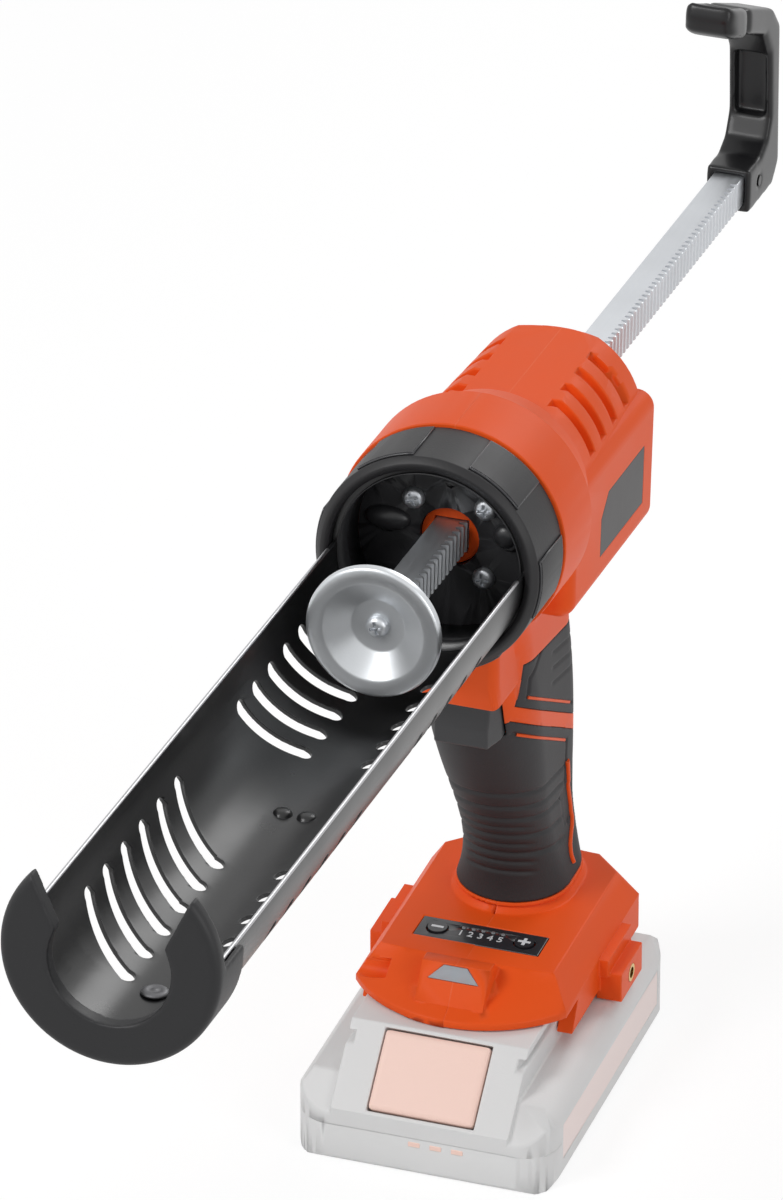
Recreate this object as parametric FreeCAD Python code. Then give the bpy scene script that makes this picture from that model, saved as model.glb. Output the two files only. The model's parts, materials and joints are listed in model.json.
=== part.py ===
import FreeCAD, Part
import math
import os

V = FreeCAD.Vector

# Cordless caulking tool, millimetres. X across the tool, Y towards its rear, Z up.
# The origin is the middle of the battery's underside.

# Barrel: its axis passes through the collar's front lip and rises towards the front.
axis_height = 193.0
lip_y = -52.0
barrel_tilt = 4.6

# Clearances
slide_gap = 0.35
running_gap = 0.05
seat_gap = 0.1
shell_wall = 2.4

# Cradle tray
tray_outer_radius = 27.5
tray_wall = 1.2
tray_edge_height = 1.6
tray_length = 243.0
tray_flange_thickness = 2.0
tray_slot_width = 5.4
tray_slot_top_angle = 24.5
tray_slot_bottom_angle = 68.7
tray_slot_count = 6
tray_slot_inset = 47.2
tray_slot_pitch = 13.5
tray_slot_slant = 12.5
tray_rear_slot_count = 5
tray_rear_slot_first = 79.6
tray_rear_slot_pitch = 12.3
tray_rear_slot_slant = 8.0
tray_bump_radius = 2.6
tray_bump_height = 1.3
tray_bump_spacing = 6.9
tray_bump_place = 105.0

# Front stop
stop_wall = 2.1
stop_thickness = 5.0
stop_skirt = 14.0
stop_round = 2.4
stop_opening_radius = 16.4
stop_opening_drop = 1.6
stop_throat_rise = 7.6
stop_tip_half_width = 21.1
stop_tip_height = 20.3
stop_tongue_reach = 38.0
stop_tongue_half_width = 8.0
rivet_inset = 30.5
rivet_head_radius = 3.8
rivet_shank_radius = 2.0
rivet_head_height = 1.2

# Collar and the neck that it screws on
collar_grip = 4.9
collar_length = 22.0
collar_lip = 3.0
collar_wall = 2.7
collar_pad_count = 6
collar_pad_angle = 30.0
collar_pad_height = 0.7
collar_pad_margin = 3.0
collar_pad_turn = 115.0
neck_bore_inset = 1.1

# Front plate inside the neck
plate_place = 20.0
plate_thickness = 3.0
plate_hole_radius = 8.6
plate_screw_circle = 14.6
plate_screw_head_radius = 3.2
plate_screw_head_height = 2.2
plate_screw_radius = 1.5
plate_screw_length = 9.0
front_wall = 3.0

# Rack rod and what it carries
rod_width = 9.2
rod_height = 9.0
rod_front = 38.0
rod_rear = 292.0
rack_module = 1.0
rack_addendum = 0.8
rack_dedendum = 1.2
rack_start = 8.0
rack_end = 5.0
push_plate_radius = 18.9
push_plate_lip = 1.2
push_plate_flat_radius = 14.3
push_plate_centre_radius = 7.6
push_plate_depth = 5.0
push_plate_sheet = 1.4
plate_bolt_head_radius = 3.2
plate_bolt_head_height = 2.4
plate_bolt_radius = 2.0
plate_bolt_length = 12.0

# Pull handle at the rear of the rod
hook_place = 275.0
hook_depth = 30.0
hook_socket_wall = 2.2
hook_arm_depth = 8.5
hook_arm_height = 44.0
hook_lean = 0.1
hook_shoulder = 7.0
hook_width = 13.5
hook_bar_reach = 45.0
hook_bar_rise = 17.5
hook_bar_thickness = 8.5
hook_corner = 6.0
hook_channel_depth = 3.0
hook_channel_inset = 0.5
hook_rib = 2.2
hook_round = 1.5
hook_pin_radius = 1.5
hook_pin_place = 10.0

# Housing round the barrel
shoulder_step = 0.2
shoulder_end = 45.0
ridge_radius = 30.4
ridge_place = 49.0
gear_barrel_front_radius = 27.0
gear_barrel_front = 60.0
gear_barrel_rear_radius = 25.0
gear_barrel_top = 22.0
housing_rear = 117.0
housing_rear_round = 3.0
cheek_half_width = 28.0
cheek_front = 44.0
cheek_top = 7.8
cheek_bottom = 32.0
cheek_round = 5.0
cheek_front_round = 4.5
guard_half_width = 14.0
guard_front = 23.5
guard_rear = 64.0
guard_bottom = 54.0
guard_chamfer = 4.0
guard_round = 3.0
vent_count = 4
vent_pitch = 11.3
vent_width = 4.4
vent_first = 66.0
vent_depth = 1.6
vent_inner = 12.3
vent_margin = 0.6
badge_front = 69.5
badge_rear = 108.0
badge_top = -5.5
badge_bottom = -23.0
badge_corner = 6.0
badge_thickness = 0.8

# Grip: stations from the top down
grip_top = 162.0
grip_top_half_width = 17.0
grip_top_half_depth = 30.0
grip_upper = 128.0
grip_upper_half_width = 16.5
grip_upper_half_depth = 29.0
grip_middle = 93.0
grip_middle_half_width = 14.5
grip_middle_half_depth = 25.0
grip_waist = 67.0
grip_waist_half_width = 13.4
grip_waist_half_depth = 20.8
grip_flare = 49.5
grip_flare_half_width = 17.0
grip_flare_half_depth = 20.5
grip_flare_middle = 31.0
grip_middle_y = 22.0
grip_rake = 0.32
grip_cap = 4.0
cover_thickness = 1.6
band_height = 124.6
band_slope = 0.596
band_width = 4.9
strip_rear = -12.5
strip_bottom = 117.8
pad_top = 143.2
pad_top_slope = 0.17
strap_half_width = 11.5
strap_margin = 1.5

# Trigger and switch
trigger_front = -21.6
trigger_bottom = 119.7
trigger_top = 146.0
trigger_half_width = 9.6
trigger_bevel = 1.9
trigger_bevel_depth = 6.5
trigger_hollow_radius = 30.0
trigger_hollow_depth = 1.0
trigger_depth = 11.0
trigger_travel = 6.0
trigger_stem_radius = 2.6
trigger_stem_engage = 1.8
switch_half_width = 9.0
switch_length = 9.4
switch_height = 24.0

# Foot
foot_bottom = 36.6
foot_rim_top = 38.8
foot_deck = 47.3
foot_half_width = 31.0
foot_deck_half_width = 25.6
foot_front = -36.0
foot_front_corner = -20.5
foot_deck_front = -15.0
foot_deck_bow = 0.8
foot_rear = 54.0
foot_deck_rear = 50.0
foot_corner = 8.0
foot_neck = 2.0
notch_radius = 3.2
notch_y = -21.0
notch_height = 42.6
notch_end = -21.0
skirt_bottom = 28.0
skirt_front = -15.0
skirt_nose = 6.0
skirt_rear = 46.0
skirt_thickness = 4.6
rail_height = 1.8
rail_depth = 2.2
rail_bottom = 31.5
boss_reach = 37.4
boss_front = 10.0
boss_rear = 29.0
boss_bottom = 25.0
boss_top = 34.0
boss_step_reach = 33.8
boss_step_top = 38.6
insert_radius = 2.6
insert_thread_radius = 1.65
insert_length = 6.0

# Screws that hold the halves together
screw_post_radius = 4.2
screw_head_radius = 2.8
screw_head_height = 2.2
screw_radius = 1.4
screw_sink = 3.6
screw_reach = 7.0

# Speed panel and lamp
panel_half_width = 18.4
panel_front = -8.0
panel_rear = 2.3
panel_thickness = 1.0
button_radius = 2.8
button_place = 12.8
button_rise = 0.5
button_flange = 1.2
button_travel = 0.6
led_count = 5
led_pitch = 2.9
led_radius = 0.7
led_row = 2.4
lamp_pad_half_width = 9.9
lamp_pad_rear = -20.6
lamp_pad_top = 50.4
lamp_pad_front = -24.7
lamp_pad_low_y = -31.3
lamp_pad_low = 40.9
lens_top_half_width = 3.4
lens_low_half_width = 7.4
lens_drop = 0.5
lens_height = 4.2
lens_thickness = 1.6
lens_proud = 0.2
lamp_radius = 1.5
lamp_length = 1.4
board_thickness = 1.6
board_stand = 1.0

# Battery pack
pack_half_width = 38.0
pack_front = -57.0
pack_rear = 54.0
pack_side_top = 18.5
pack_shoulder = 24.4
pack_shoulder_half_width = 33.8
pack_split = 12.0
pack_wall = 2.4
pack_foot_bevel = 2.0
block_top = 36.2
block_rear = 50.0
pack_slope = 17.5
release_half_width = 15.4
release_thickness = 4.0
release_travel = 2.5
cell_radius = 9.2
cell_length = 65.0
cell_count = 5
cell_gap = 0.4
blade_thickness = 0.8
blade_length = 12.0
blade_drop = 4.4
blade_pitch = 9.0
blade_count = 3
blade_inset = 3.0
contact_leaf = 0.7
stripe_low = 6.0
stripe_high = 17.0
stripe_front = -44.0
stripe_rear = 42.0
stripe_thickness = 0.6
link_thickness = 0.4
link_half_height = 3.0
holder_floor = 0.8
holder_height = 5.0
holder_half_width = 26.0
release_proud = 0.8
release_margin = 0.06
pack_corner = 11.0

# Drive, in the barrel's own directions
drive_place = 74.0
pinion_teeth = 14
pinion_half_height = 5.2
shaft_radius = 2.6
gear_backlash = 0.16
output_teeth = 11
wheel_teeth = 18
wheel_thickness = 5.0
planet_module = 0.4
sun_teeth = 12
planet_teeth = 18
ring_teeth = 48
planet_count = 3
planet_thickness = 6.0
ring_radius = 11.6
motor_radius = 11.5
motor_length = 34.0
motor_wall = 1.0
rotor_radius = 8.4
motor_shaft_radius = 1.2
gearbox_plate = 2.5
bearing_radius = 4.4
planet_pin_radius = 0.9
carrier_shaft_radius = 2.9

# Sizes that follow from those above
tray_inner_radius = tray_outer_radius - tray_wall
stop_outer_radius = tray_outer_radius + stop_wall
collar_radius = tray_outer_radius + collar_grip
neck_bore_radius = tray_outer_radius - neck_bore_inset
shoulder_radius = collar_radius + shoulder_step
tray_slot_first = tray_length - tray_slot_inset
rivet_place = tray_length - rivet_inset
lip_radius = tray_outer_radius + slide_gap
flange_front = collar_lip + slide_gap
flange_rear = flange_front + tray_flange_thickness
neck_front = flange_rear + slide_gap
neck_radius = collar_radius - collar_wall - slide_gap
shoulder_start = collar_length + slide_gap
wall_front = plate_place + plate_thickness
wall_rear = wall_front + front_wall
hollow_radius = gear_barrel_top - shell_wall
rack_pitch_x = rod_width / 2 - rack_addendum * rack_module
pinion_pitch_radius = rack_module * pinion_teeth / 2
pinion_x = rack_pitch_x + pinion_pitch_radius
spur_module = 2 * pinion_x / (output_teeth + wheel_teeth)
planet_orbit = planet_module * (sun_teeth + planet_teeth) / 2
wheel_top = -pinion_half_height - 2.6
wheel_bottom = wheel_top - wheel_thickness
lower_plate_top = wheel_bottom - 0.5
lower_plate_bottom = lower_plate_top - gearbox_plate
planet_top = lower_plate_bottom - 2.4
planet_bottom = planet_top - planet_thickness
motor_top = planet_bottom - 0.6
motor_bottom = motor_top - motor_length
upper_plate_bottom = pinion_half_height + 2.0
upper_plate_top = upper_plate_bottom + gearbox_plate
block_half_width = foot_half_width - skirt_thickness - slide_gap
rail_reach = foot_half_width - skirt_thickness - rail_depth
cell_step = 2 * cell_radius + cell_gap
cell_height = pack_wall + holder_floor + cell_radius + seat_gap
cell_first = (pack_front + pack_rear) / 2 - cell_step * (cell_count - 1) / 2 + blade_inset / 2


def box(x0, x1, y0, y1, z0, z1):
    return Part.makeBox(x1 - x0, y1 - y0, z1 - z0, V(x0, y0, z0))


def both(x0, x1, y0, y1, z0, z1):
    """The same box on the right and on the left."""
    return Part.makeCompound([box(x0, x1, y0, y1, z0, z1), box(-x1, -x0, y0, y1, z0, z1)])


def drum(radius, start, end, x=0.0, z=0.0):
    """A cylinder along Y."""
    return Part.makeCylinder(radius, end - start, V(x, start, z), V(0, 1, 0))


def ring(outer, inner, start, end):
    return drum(outer, start, end).cut(drum(inner, start - 1, end + 1))


def post(radius, bottom, top, x=0.0, y=0.0):
    """A cylinder along Z."""
    return Part.makeCylinder(radius, top - bottom, V(x, y, bottom), V(0, 0, 1))


def face_of(points):
    return Part.Face(Part.makePolygon(points + [points[0]]))


def side_prism(outline, half_width):
    """Extrude an outline of (y, z) points across the tool."""
    face = face_of([V(-half_width, y, z) for y, z in outline])
    return face.extrude(V(2 * half_width, 0, 0))


def turned(profile):
    """Turn an outline of (radius, y) points round the barrel's axis."""
    face = face_of([V(r, y, 0) for r, y in profile])
    return face.revolve(V(0, 0, 0), V(0, 1, 0), 360)


def on_barrel(shape):
    """Take a shape from the barrel's own directions to the tool's."""
    turn = FreeCAD.Rotation(V(1, 0, 0), -barrel_tilt)
    placed = shape.copy()
    placed.Placement = FreeCAD.Placement(V(0, lip_y, axis_height), turn).multiply(shape.Placement)
    return placed


def rounded(shape, radius, chosen):
    """Round the edges that the test picks out."""
    return shape.makeFillet(radius, [edge for edge in shape.Edges if chosen(edge)])


def along(edge, direction):
    if not isinstance(edge.Curve, Part.Line):
        return False
    return abs(abs(edge.Curve.Direction.dot(direction)) - 1) < 1e-6


def joined(first, *others):
    return first.fuse(list(others)).removeSplitter()


def solids(shape):
    return Part.makeCompound(shape.Solids)


def save(name, shape):
    shape = solids(shape) if len(shape.Solids) > 1 else shape.Solids[0]
    if not shape.isValid():
        print("not valid:", name)
    shape.exportStep("parts/" + name + ".step")
    print(name, len(shape.Solids), round(shape.Volume))


def involute_gear(teeth, module, bottom, top, addendum=0.8, dedendum=1.15, thinning=gear_backlash):
    """A straight spur gear round Z, its first tooth centred on +X."""
    pitch = module * teeth / 2
    pressure = math.radians(20)
    base = pitch * math.cos(pressure)
    tip = pitch + addendum * module
    root = pitch - dedendum * module
    half_pitch_angle = math.pi / 2 / teeth - thinning / 2 / pitch
    start = half_pitch_angle + math.tan(pressure) - pressure

    def flank_angle(radius):
        if radius <= base:
            return start
        turn = math.acos(base / radius)
        return start - (math.tan(turn) - turn)

    radii = [root] + [max(root, base) + (tip - max(root, base)) * k / 4 for k in range(5)]
    points = []
    for tooth in range(teeth):
        centre = 2 * math.pi * tooth / teeth
        flank = [(r, flank_angle(r)) for r in radii]
        outline = [(r, -a) for r, a in flank] + [(r, a) for r, a in reversed(flank)]
        points += [V(r * math.cos(centre + a), r * math.sin(centre + a), bottom) for r, a in outline]
    unique = [p for k, p in enumerate(points) if p.distanceToPoint(points[k - 1]) > 1e-4]
    return face_of(unique).extrude(V(0, 0, top - bottom))


def moved(shape, x=0.0, y=0.0, z=0.0):
    copy = shape.copy()
    copy.translate(V(x, y, z))
    return copy


def spun(shape, degrees):
    copy = shape.copy()
    copy.rotate(V(0, 0, 0), V(0, 0, 1), degrees)
    return copy


# Cradle tray and front stop

def slot_cutter(place, slant, side):
    """A rounded slot through the tray's wall, leaning along the tray."""
    points = []
    turn = tray_slot_bottom_angle - tray_slot_top_angle
    for step in range(4):
        share = step / 3
        angle = math.radians(tray_slot_top_angle + turn * share)
        reach = tray_outer_radius + 3
        points.append(V(side * reach * math.cos(angle), -place - slant * share, -reach * math.sin(angle)))
    pieces = []
    for a, b in zip(points, points[1:]):
        inward_a = V(a.x, 0, a.z) * -0.35
        inward_b = V(b.x, 0, b.z) * -0.35
        half = V(0, tray_slot_width / 2, 0)
        outer = Part.makePolygon([a - half, a + half, b + half, b - half, a - half])
        shift = (inward_a + inward_b) * 0.5
        pieces.append(Part.Face(outer).extrude(shift))
    ends = [points[0], points[-1]]
    caps = [Part.makeCylinder(tray_slot_width / 2, tray_outer_radius * 0.35, p, V(-p.x, 0, -p.z)) for p in ends]
    return pieces + caps


def tray_shell():
    half = ring(tray_outer_radius, tray_inner_radius, -tray_length, flange_rear)
    reach = tray_outer_radius + 1
    shell = half.cut(box(-reach, reach, -tray_length - 1, flange_front, tray_edge_height, reach))
    flange_outer = neck_radius - slide_gap
    flange = ring(flange_outer, tray_inner_radius, flange_front, flange_rear)
    shell = joined(shell, flange)
    cutters = []
    for side in (1, -1):
        for k in range(tray_slot_count):
            cutters += slot_cutter(tray_slot_first - k * tray_slot_pitch, tray_slot_slant, side)
        for k in range(tray_rear_slot_count):
            cutters += slot_cutter(tray_rear_slot_first - k * tray_rear_slot_pitch, -tray_rear_slot_slant, side)
    shell = shell.cut(cutters)
    for k in (-0.5, 0.5):
        base = V(k * tray_bump_spacing, -tray_bump_place, -tray_inner_radius - tray_wall / 4)
        bump = Part.makeCone(tray_bump_radius, tray_bump_radius * 0.6, tray_bump_height + tray_wall / 4, base)
        shell = shell.fuse(bump)
    shank = post(rivet_shank_radius, -stop_outer_radius, 0, 0, -rivet_place)
    return shell.cut(shank).removeSplitter()


def front_stop():
    """The fork that holds the cartridge's front end, with a skirt round the tray."""
    face = -tray_length
    front = face - stop_thickness
    body = drum(stop_outer_radius, front, face + stop_skirt)
    body = rounded(body, stop_round, lambda e: abs(e.BoundBox.YMax - front) < 1e-4)
    body = body.cut(drum(tray_outer_radius + seat_gap, face, face + stop_skirt + 1))
    hole = drum(stop_opening_radius, front - 1, face + 1, 0, -stop_opening_drop)
    edge = stop_outer_radius + 2
    throat_top = stop_throat_rise - stop_opening_drop
    throat_half = math.sqrt(stop_opening_radius ** 2 - stop_throat_rise ** 2)
    mouth = [
        (-throat_half, throat_top), (throat_half, throat_top), (stop_tip_half_width, stop_tip_height),
        (stop_tip_half_width, edge), (-stop_tip_half_width, edge), (-stop_tip_half_width, stop_tip_height),
    ]
    flare = face_of([V(x, front - 1, z) for x, z in mouth]).extrude(V(0, stop_thickness + 2, 0))
    skirt_cut = box(-edge, edge, face, face + stop_skirt + 1, tray_edge_height, edge)
    outer_cut = box(-edge, edge, front - 1, face + 1, stop_tip_height, edge)
    tongue = ring(stop_outer_radius, tray_outer_radius + seat_gap, face + 1, face + stop_tongue_reach)
    strip = box(-stop_tongue_half_width, stop_tongue_half_width, face, face + stop_tongue_reach, -edge, 0)
    shank = post(rivet_shank_radius, -stop_outer_radius - 1, 0, 0, -rivet_place)
    return joined(body.cut([hole, flare, skirt_cut, outer_cut]), tongue.common(strip)).cut(shank)


def tray_rivet():
    place = -rivet_place
    seat = -math.sqrt(tray_inner_radius ** 2 - rivet_head_radius ** 2)
    foot = -stop_outer_radius - 0.2
    head = Part.makeCone(rivet_head_radius, rivet_head_radius * 0.7, rivet_head_height, V(0, place, seat))
    return joined(post(rivet_shank_radius - seat_gap, foot, seat + 0.2, 0, place), head)


# Collar and front plate

def collar():
    grip_radius = collar_radius - collar_pad_height
    profile = [
        (lip_radius, 0.6), (lip_radius + 1.2, 0), (grip_radius - 1.6, 0), (grip_radius, 1.6),
        (grip_radius, collar_length), (neck_radius + slide_gap, collar_length),
        (neck_radius + slide_gap, collar_lip), (lip_radius, collar_lip),
    ]
    body = turned(profile)
    pad_ring = ring(collar_radius, grip_radius - 0.5, collar_pad_margin, collar_length - 1.5)
    pads = []
    for k in range(collar_pad_count):
        middle = 360.0 / collar_pad_count * k + collar_pad_turn
        edges = [math.radians(middle + s * collar_pad_angle / 2) for s in (-1, 1)]
        far = collar_radius * 1.3
        wedge = face_of([V(0, 0, 0)] + [V(far * math.cos(a), 0, far * math.sin(a)) for a in edges])
        pads.append(pad_ring.common(wedge.extrude(V(0, collar_length, 0))))
    return body.fuse(pads)


def plate_screw_spots():
    reach = plate_screw_circle / math.sqrt(2)
    return [(sx * reach, sz * reach) for sx in (1, -1) for sz in (1, -1)]


def front_plate():
    plate = drum(neck_bore_radius - seat_gap, plate_place, wall_front)
    holes = [drum(plate_hole_radius, plate_place - 1, wall_front + 1)]
    holes += [drum(plate_screw_radius + seat_gap, plate_place - 1, wall_front + 1, x, z) for x, z in plate_screw_spots()]
    holes.append(drum(2.4, plate_place - 1, plate_place + 1.2, 0, plate_screw_circle + 2.4))
    plate = plate.cut(holes)
    for side in (1, -1):
        bump = Part.makeCone(3.4, 2.2, 1.5, V(side * plate_screw_circle * 1.2, plate_place, 2.0), V(0, -1, 0))
        plate = plate.fuse(bump)
    return plate.removeSplitter()


def front_plate_screws():
    screws = []
    for x, z in plate_screw_spots():
        head = drum(plate_screw_head_radius, plate_place - plate_screw_head_height, plate_place, x, z)
        head = rounded(head, 1.2, lambda e: abs(e.BoundBox.YMin - plate_place + plate_screw_head_height) < 1e-4
                       and e.BoundBox.YLength < 1e-4)
        shank = drum(plate_screw_radius, plate_place, plate_place + plate_screw_length, x, z)
        slot_a = box(x - 1.8, x + 1.8, plate_place - 3, plate_place - 1.1, z - 0.35, z + 0.35)
        slot_b = box(x - 0.35, x + 0.35, plate_place - 3, plate_place - 1.1, z - 1.8, z + 1.8)
        screws.append(joined(head, shank).cut([slot_a, slot_b]))
    return Part.makeCompound(screws)


def rod_opening(start, end, gap):
    half_x = rod_width / 2 + gap
    half_z = rod_height / 2 + gap
    return box(-half_x, half_x, start, end, -half_z, half_z)


def rod_bush():
    body = drum(plate_hole_radius - seat_gap, wall_front - 1.0, wall_rear + 4)
    flange = drum(plate_hole_radius + 2.4, wall_rear, wall_rear + 4)
    return joined(body, flange).cut(rod_opening(0, wall_rear + 9, slide_gap))


def rear_rod_guide():
    body = drum(plate_hole_radius, housing_rear - shell_wall - 3, housing_rear)
    return body.cut(rod_opening(housing_rear - 20, housing_rear + 5, slide_gap))


# Rack rod, push plate and pull handle

def rack_tooth_spaces():
    pitch = math.pi * rack_module
    outer = rod_width / 2
    inner = rack_pitch_x - rack_dedendum * rack_module
    slope = math.tan(math.radians(20))
    first = math.ceil((-rod_front + rack_start - drive_place) / pitch)
    last = math.floor((hook_place - rack_end - drive_place) / pitch)
    spaces = []
    for k in range(first, last + 1):
        middle = drive_place + k * pitch
        half_pitch_line = pitch / 4 + gear_backlash / 2
        half_outer = half_pitch_line + (outer + 0.2 - rack_pitch_x) * slope
        half_inner = half_pitch_line - (rack_pitch_x - inner) * slope
        corners = [(outer + 0.2, -half_outer), (outer + 0.2, half_outer), (inner, half_inner), (inner, -half_inner)]
        outline = [V(x, middle + y, -rod_height) for x, y in corners]
        spaces.append(face_of(outline).extrude(V(0, 0, 2 * rod_height)))
    return spaces


def rack_rod():
    rod = rod_opening(-rod_front, rod_rear, 0)
    rod = rounded(rod, 0.5, lambda e: along(e, V(0, 1, 0)))
    bolt_hole = drum(plate_bolt_radius + seat_gap, -rod_front - 1, -rod_front + plate_bolt_length)
    pin_hole = hook_pin(seat_gap)
    return rod.cut(rack_tooth_spaces() + [bolt_hole, pin_hole])


def push_plate():
    """A dished disc, open towards the front, on the rod's front end."""
    back = -rod_front
    front = back - push_plate_depth
    sheet = push_plate_sheet
    profile = [
        (plate_bolt_radius + seat_gap, back), (plate_bolt_radius + seat_gap, back - sheet),
        (push_plate_centre_radius, back - sheet), (push_plate_flat_radius, front - sheet + 0.6),
        (push_plate_radius - sheet, front - sheet), (push_plate_radius - sheet, front - sheet - push_plate_lip),
        (push_plate_radius, front - sheet - push_plate_lip), (push_plate_radius, front),
        (push_plate_flat_radius, front + 0.6), (push_plate_centre_radius + sheet * 0.6, back),
    ]
    return turned(profile)


def push_plate_screw():
    seat = -rod_front - push_plate_sheet
    head = drum(plate_bolt_head_radius, seat - plate_bolt_head_height, seat)
    front = seat - plate_bolt_head_height
    head = rounded(head, 1.2, lambda e: abs(e.BoundBox.YMin - front) < 1e-4 and e.BoundBox.YLength < 1e-4)
    shank = drum(plate_bolt_radius, seat, -rod_front + plate_bolt_length - 1)
    slots = [box(-2, 2, front - 1, front + 1.2, -0.4, 0.4), box(-0.4, 0.4, front - 1, front + 1.2, -2, 2)]
    return joined(head, shank).cut(slots)


def hook_pin(gap=0.0):
    middle = hook_place + hook_pin_place
    half = hook_width / 2 + seat_gap
    return Part.makeCylinder(hook_pin_radius + gap, 2 * half, V(-half, middle, 0), V(1, 0, 0))


def arm_rear(height):
    """Where the leaning arm's rear face is at a height."""
    return hook_place + hook_depth - hook_lean * height


def arm_front(height):
    return arm_rear(height) - hook_arm_depth


def pull_handle():
    half = hook_width / 2
    socket_top = rod_height / 2 + hook_socket_wall
    top = hook_arm_height
    corner = hook_corner
    crown = (arm_rear(top) - hook_shoulder, top + hook_shoulder)
    tip = (crown[0] - hook_bar_reach, crown[1] + hook_bar_rise)
    slope = hook_bar_rise / hook_bar_reach
    inner = tip[1] - hook_bar_thickness - slope * (arm_front(top) - tip[0])
    bend = socket_top + 1.5 * corner
    outline = [
        (hook_place, -socket_top), (arm_rear(0) - corner, -socket_top), (arm_rear(0), corner - socket_top),
        (arm_rear(top), top), crown, tip, (tip[0] - hook_round, tip[1] - hook_bar_thickness / 2),
        (tip[0], tip[1] - hook_bar_thickness), (arm_front(top) - corner, inner + slope * corner),
        (arm_front(inner), inner - corner), (arm_front(bend), bend),
        (arm_front(bend) - corner / 2, socket_top + corner / 2), (arm_front(bend) - 1.5 * corner, socket_top),
        (hook_place, socket_top),
    ]
    body = side_prism(outline, half)
    body = rounded(body, hook_round, lambda e: not along(e, V(1, 0, 0)) and abs(e.CenterOfMass.x) > half - 1e-3
                   and e.CenterOfMass.z > bend)
    low = bend + hook_channel_inset
    high = inner - corner - hook_channel_inset
    deep = hook_channel_depth
    channel = side_prism([(arm_front(low) - deep, low), (arm_front(high) - deep, high),
                          (arm_front(high) + deep, high), (arm_front(low) + deep, low)], half - hook_rib)
    return body.cut([rod_opening(hook_place - 1, rod_rear, seat_gap), channel, hook_pin(seat_gap)])


# Housing

def barrel_outside():
    """Neck, shoulder and gear barrel, turned round the axis, with a flat on top."""
    rear = housing_rear
    profile = [
        (0, neck_front), (neck_radius, neck_front), (neck_radius, shoulder_start), (shoulder_radius, shoulder_start),
        (shoulder_radius, shoulder_end), (ridge_radius, ridge_place), (gear_barrel_front_radius, gear_barrel_front),
        (gear_barrel_rear_radius, rear - housing_rear_round),
        (gear_barrel_rear_radius - housing_rear_round, rear), (0, rear),
    ]
    body = turned(profile)
    far = shoulder_radius + 5
    flat = box(-far, far, gear_barrel_front, rear + 1, gear_barrel_top, far)
    cheeks = box(-cheek_half_width, cheek_half_width, cheek_front, rear, -cheek_bottom, cheek_top)
    cheeks = rounded(cheeks, cheek_round, lambda e: along(e, V(0, 1, 0)))
    cheeks = rounded(cheeks, housing_rear_round * 0.6, lambda e: abs(e.CenterOfMass.y - rear) < 1e-4)
    cheeks = rounded(cheeks, cheek_front_round, lambda e: abs(e.CenterOfMass.y - cheek_front) < 1e-4)
    return body.cut(flat).fuse(cheeks)


def guard_outside():
    """The block under the shoulder that covers the trigger's top."""
    rear = guard_rear
    top = -neck_bore_radius
    outline = [
        (shoulder_start, top), (shoulder_start, -shoulder_radius), (guard_front, -guard_bottom + 2 * guard_chamfer),
        (guard_front + guard_chamfer, -guard_bottom), (rear, -guard_bottom), (rear, top),
    ]
    block = side_prism(outline, guard_half_width)
    return rounded(block, guard_round, lambda e: not along(e, V(1, 0, 0)) and e.CenterOfMass.z < -shoulder_radius)


def oval(z, half_width, half_depth, middle):
    """A wire with half-round front and rear ends and flat sides."""
    straight = half_depth - half_width
    corner = half_width / math.sqrt(2)
    front_y = middle - straight
    rear_y = middle + straight
    a = V(half_width, front_y, z)
    b = V(half_width, rear_y, z)
    c = V(-half_width, rear_y, z)
    d = V(-half_width, front_y, z)
    rear_top = V(0, middle + half_depth, z)
    front_top = V(0, middle - half_depth, z)
    edges = [
        Part.LineSegment(a, b).toShape(),
        Part.Arc(b, V(corner, rear_y + corner, z), rear_top).toShape(),
        Part.Arc(rear_top, V(-corner, rear_y + corner, z), c).toShape(),
        Part.LineSegment(c, d).toShape(),
        Part.Arc(d, V(-corner, front_y - corner, z), front_top).toShape(),
        Part.Arc(front_top, V(corner, front_y - corner, z), a).toShape(),
    ]
    return Part.Wire(edges)


def grip_middle_at(z):
    return grip_middle_y + grip_rake * (grip_middle - z)


def grip_stations():
    """Height, half width, half depth and middle of each section, from the top down."""
    return [
        (grip_top, grip_top_half_width, grip_top_half_depth, grip_middle_at(grip_top)),
        (grip_upper, grip_upper_half_width, grip_upper_half_depth, grip_middle_at(grip_upper)),
        (grip_middle, grip_middle_half_width, grip_middle_half_depth, grip_middle_at(grip_middle)),
        (grip_waist, grip_waist_half_width, grip_waist_half_depth, grip_middle_at(grip_waist)),
        (grip_flare, grip_flare_half_width, grip_flare_half_depth, grip_flare_middle),
    ]


def grip_solid(inset):
    wires = [oval(z, w - inset, d - inset, middle) for z, w, d, middle in grip_stations()]
    return Part.makeLoft(wires, True, False)


def foot_outline(z, half, front, corner_y, rear):
    """Plan of the foot at one height: a bowed front and cut rear corners."""
    corner = foot_corner
    left = V(-half, corner_y, z)
    right = V(half, corner_y, z)
    bow = Part.Arc(left, V(0, front, z), right).toShape()
    rest = [right, V(half, rear - corner, z), V(half - corner, rear, z), V(-half + corner, rear, z),
            V(-half, rear - corner, z), left]
    sides = [Part.LineSegment(a, b).toShape() for a, b in zip(rest, rest[1:])]
    return Part.Wire([bow] + sides)


def skirt(side):
    """The wall that hangs beside the battery's block, with a pointed front."""
    inner = foot_half_width - skirt_thickness
    top = foot_bottom + 1
    outline = [(skirt_front, skirt_bottom), (skirt_rear, skirt_bottom), (skirt_rear, top), (skirt_front + skirt_nose, top)]
    start = inner if side > 0 else -foot_half_width
    return face_of([V(start, y, z) for y, z in outline]).extrude(V(skirt_thickness, 0, 0))


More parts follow.
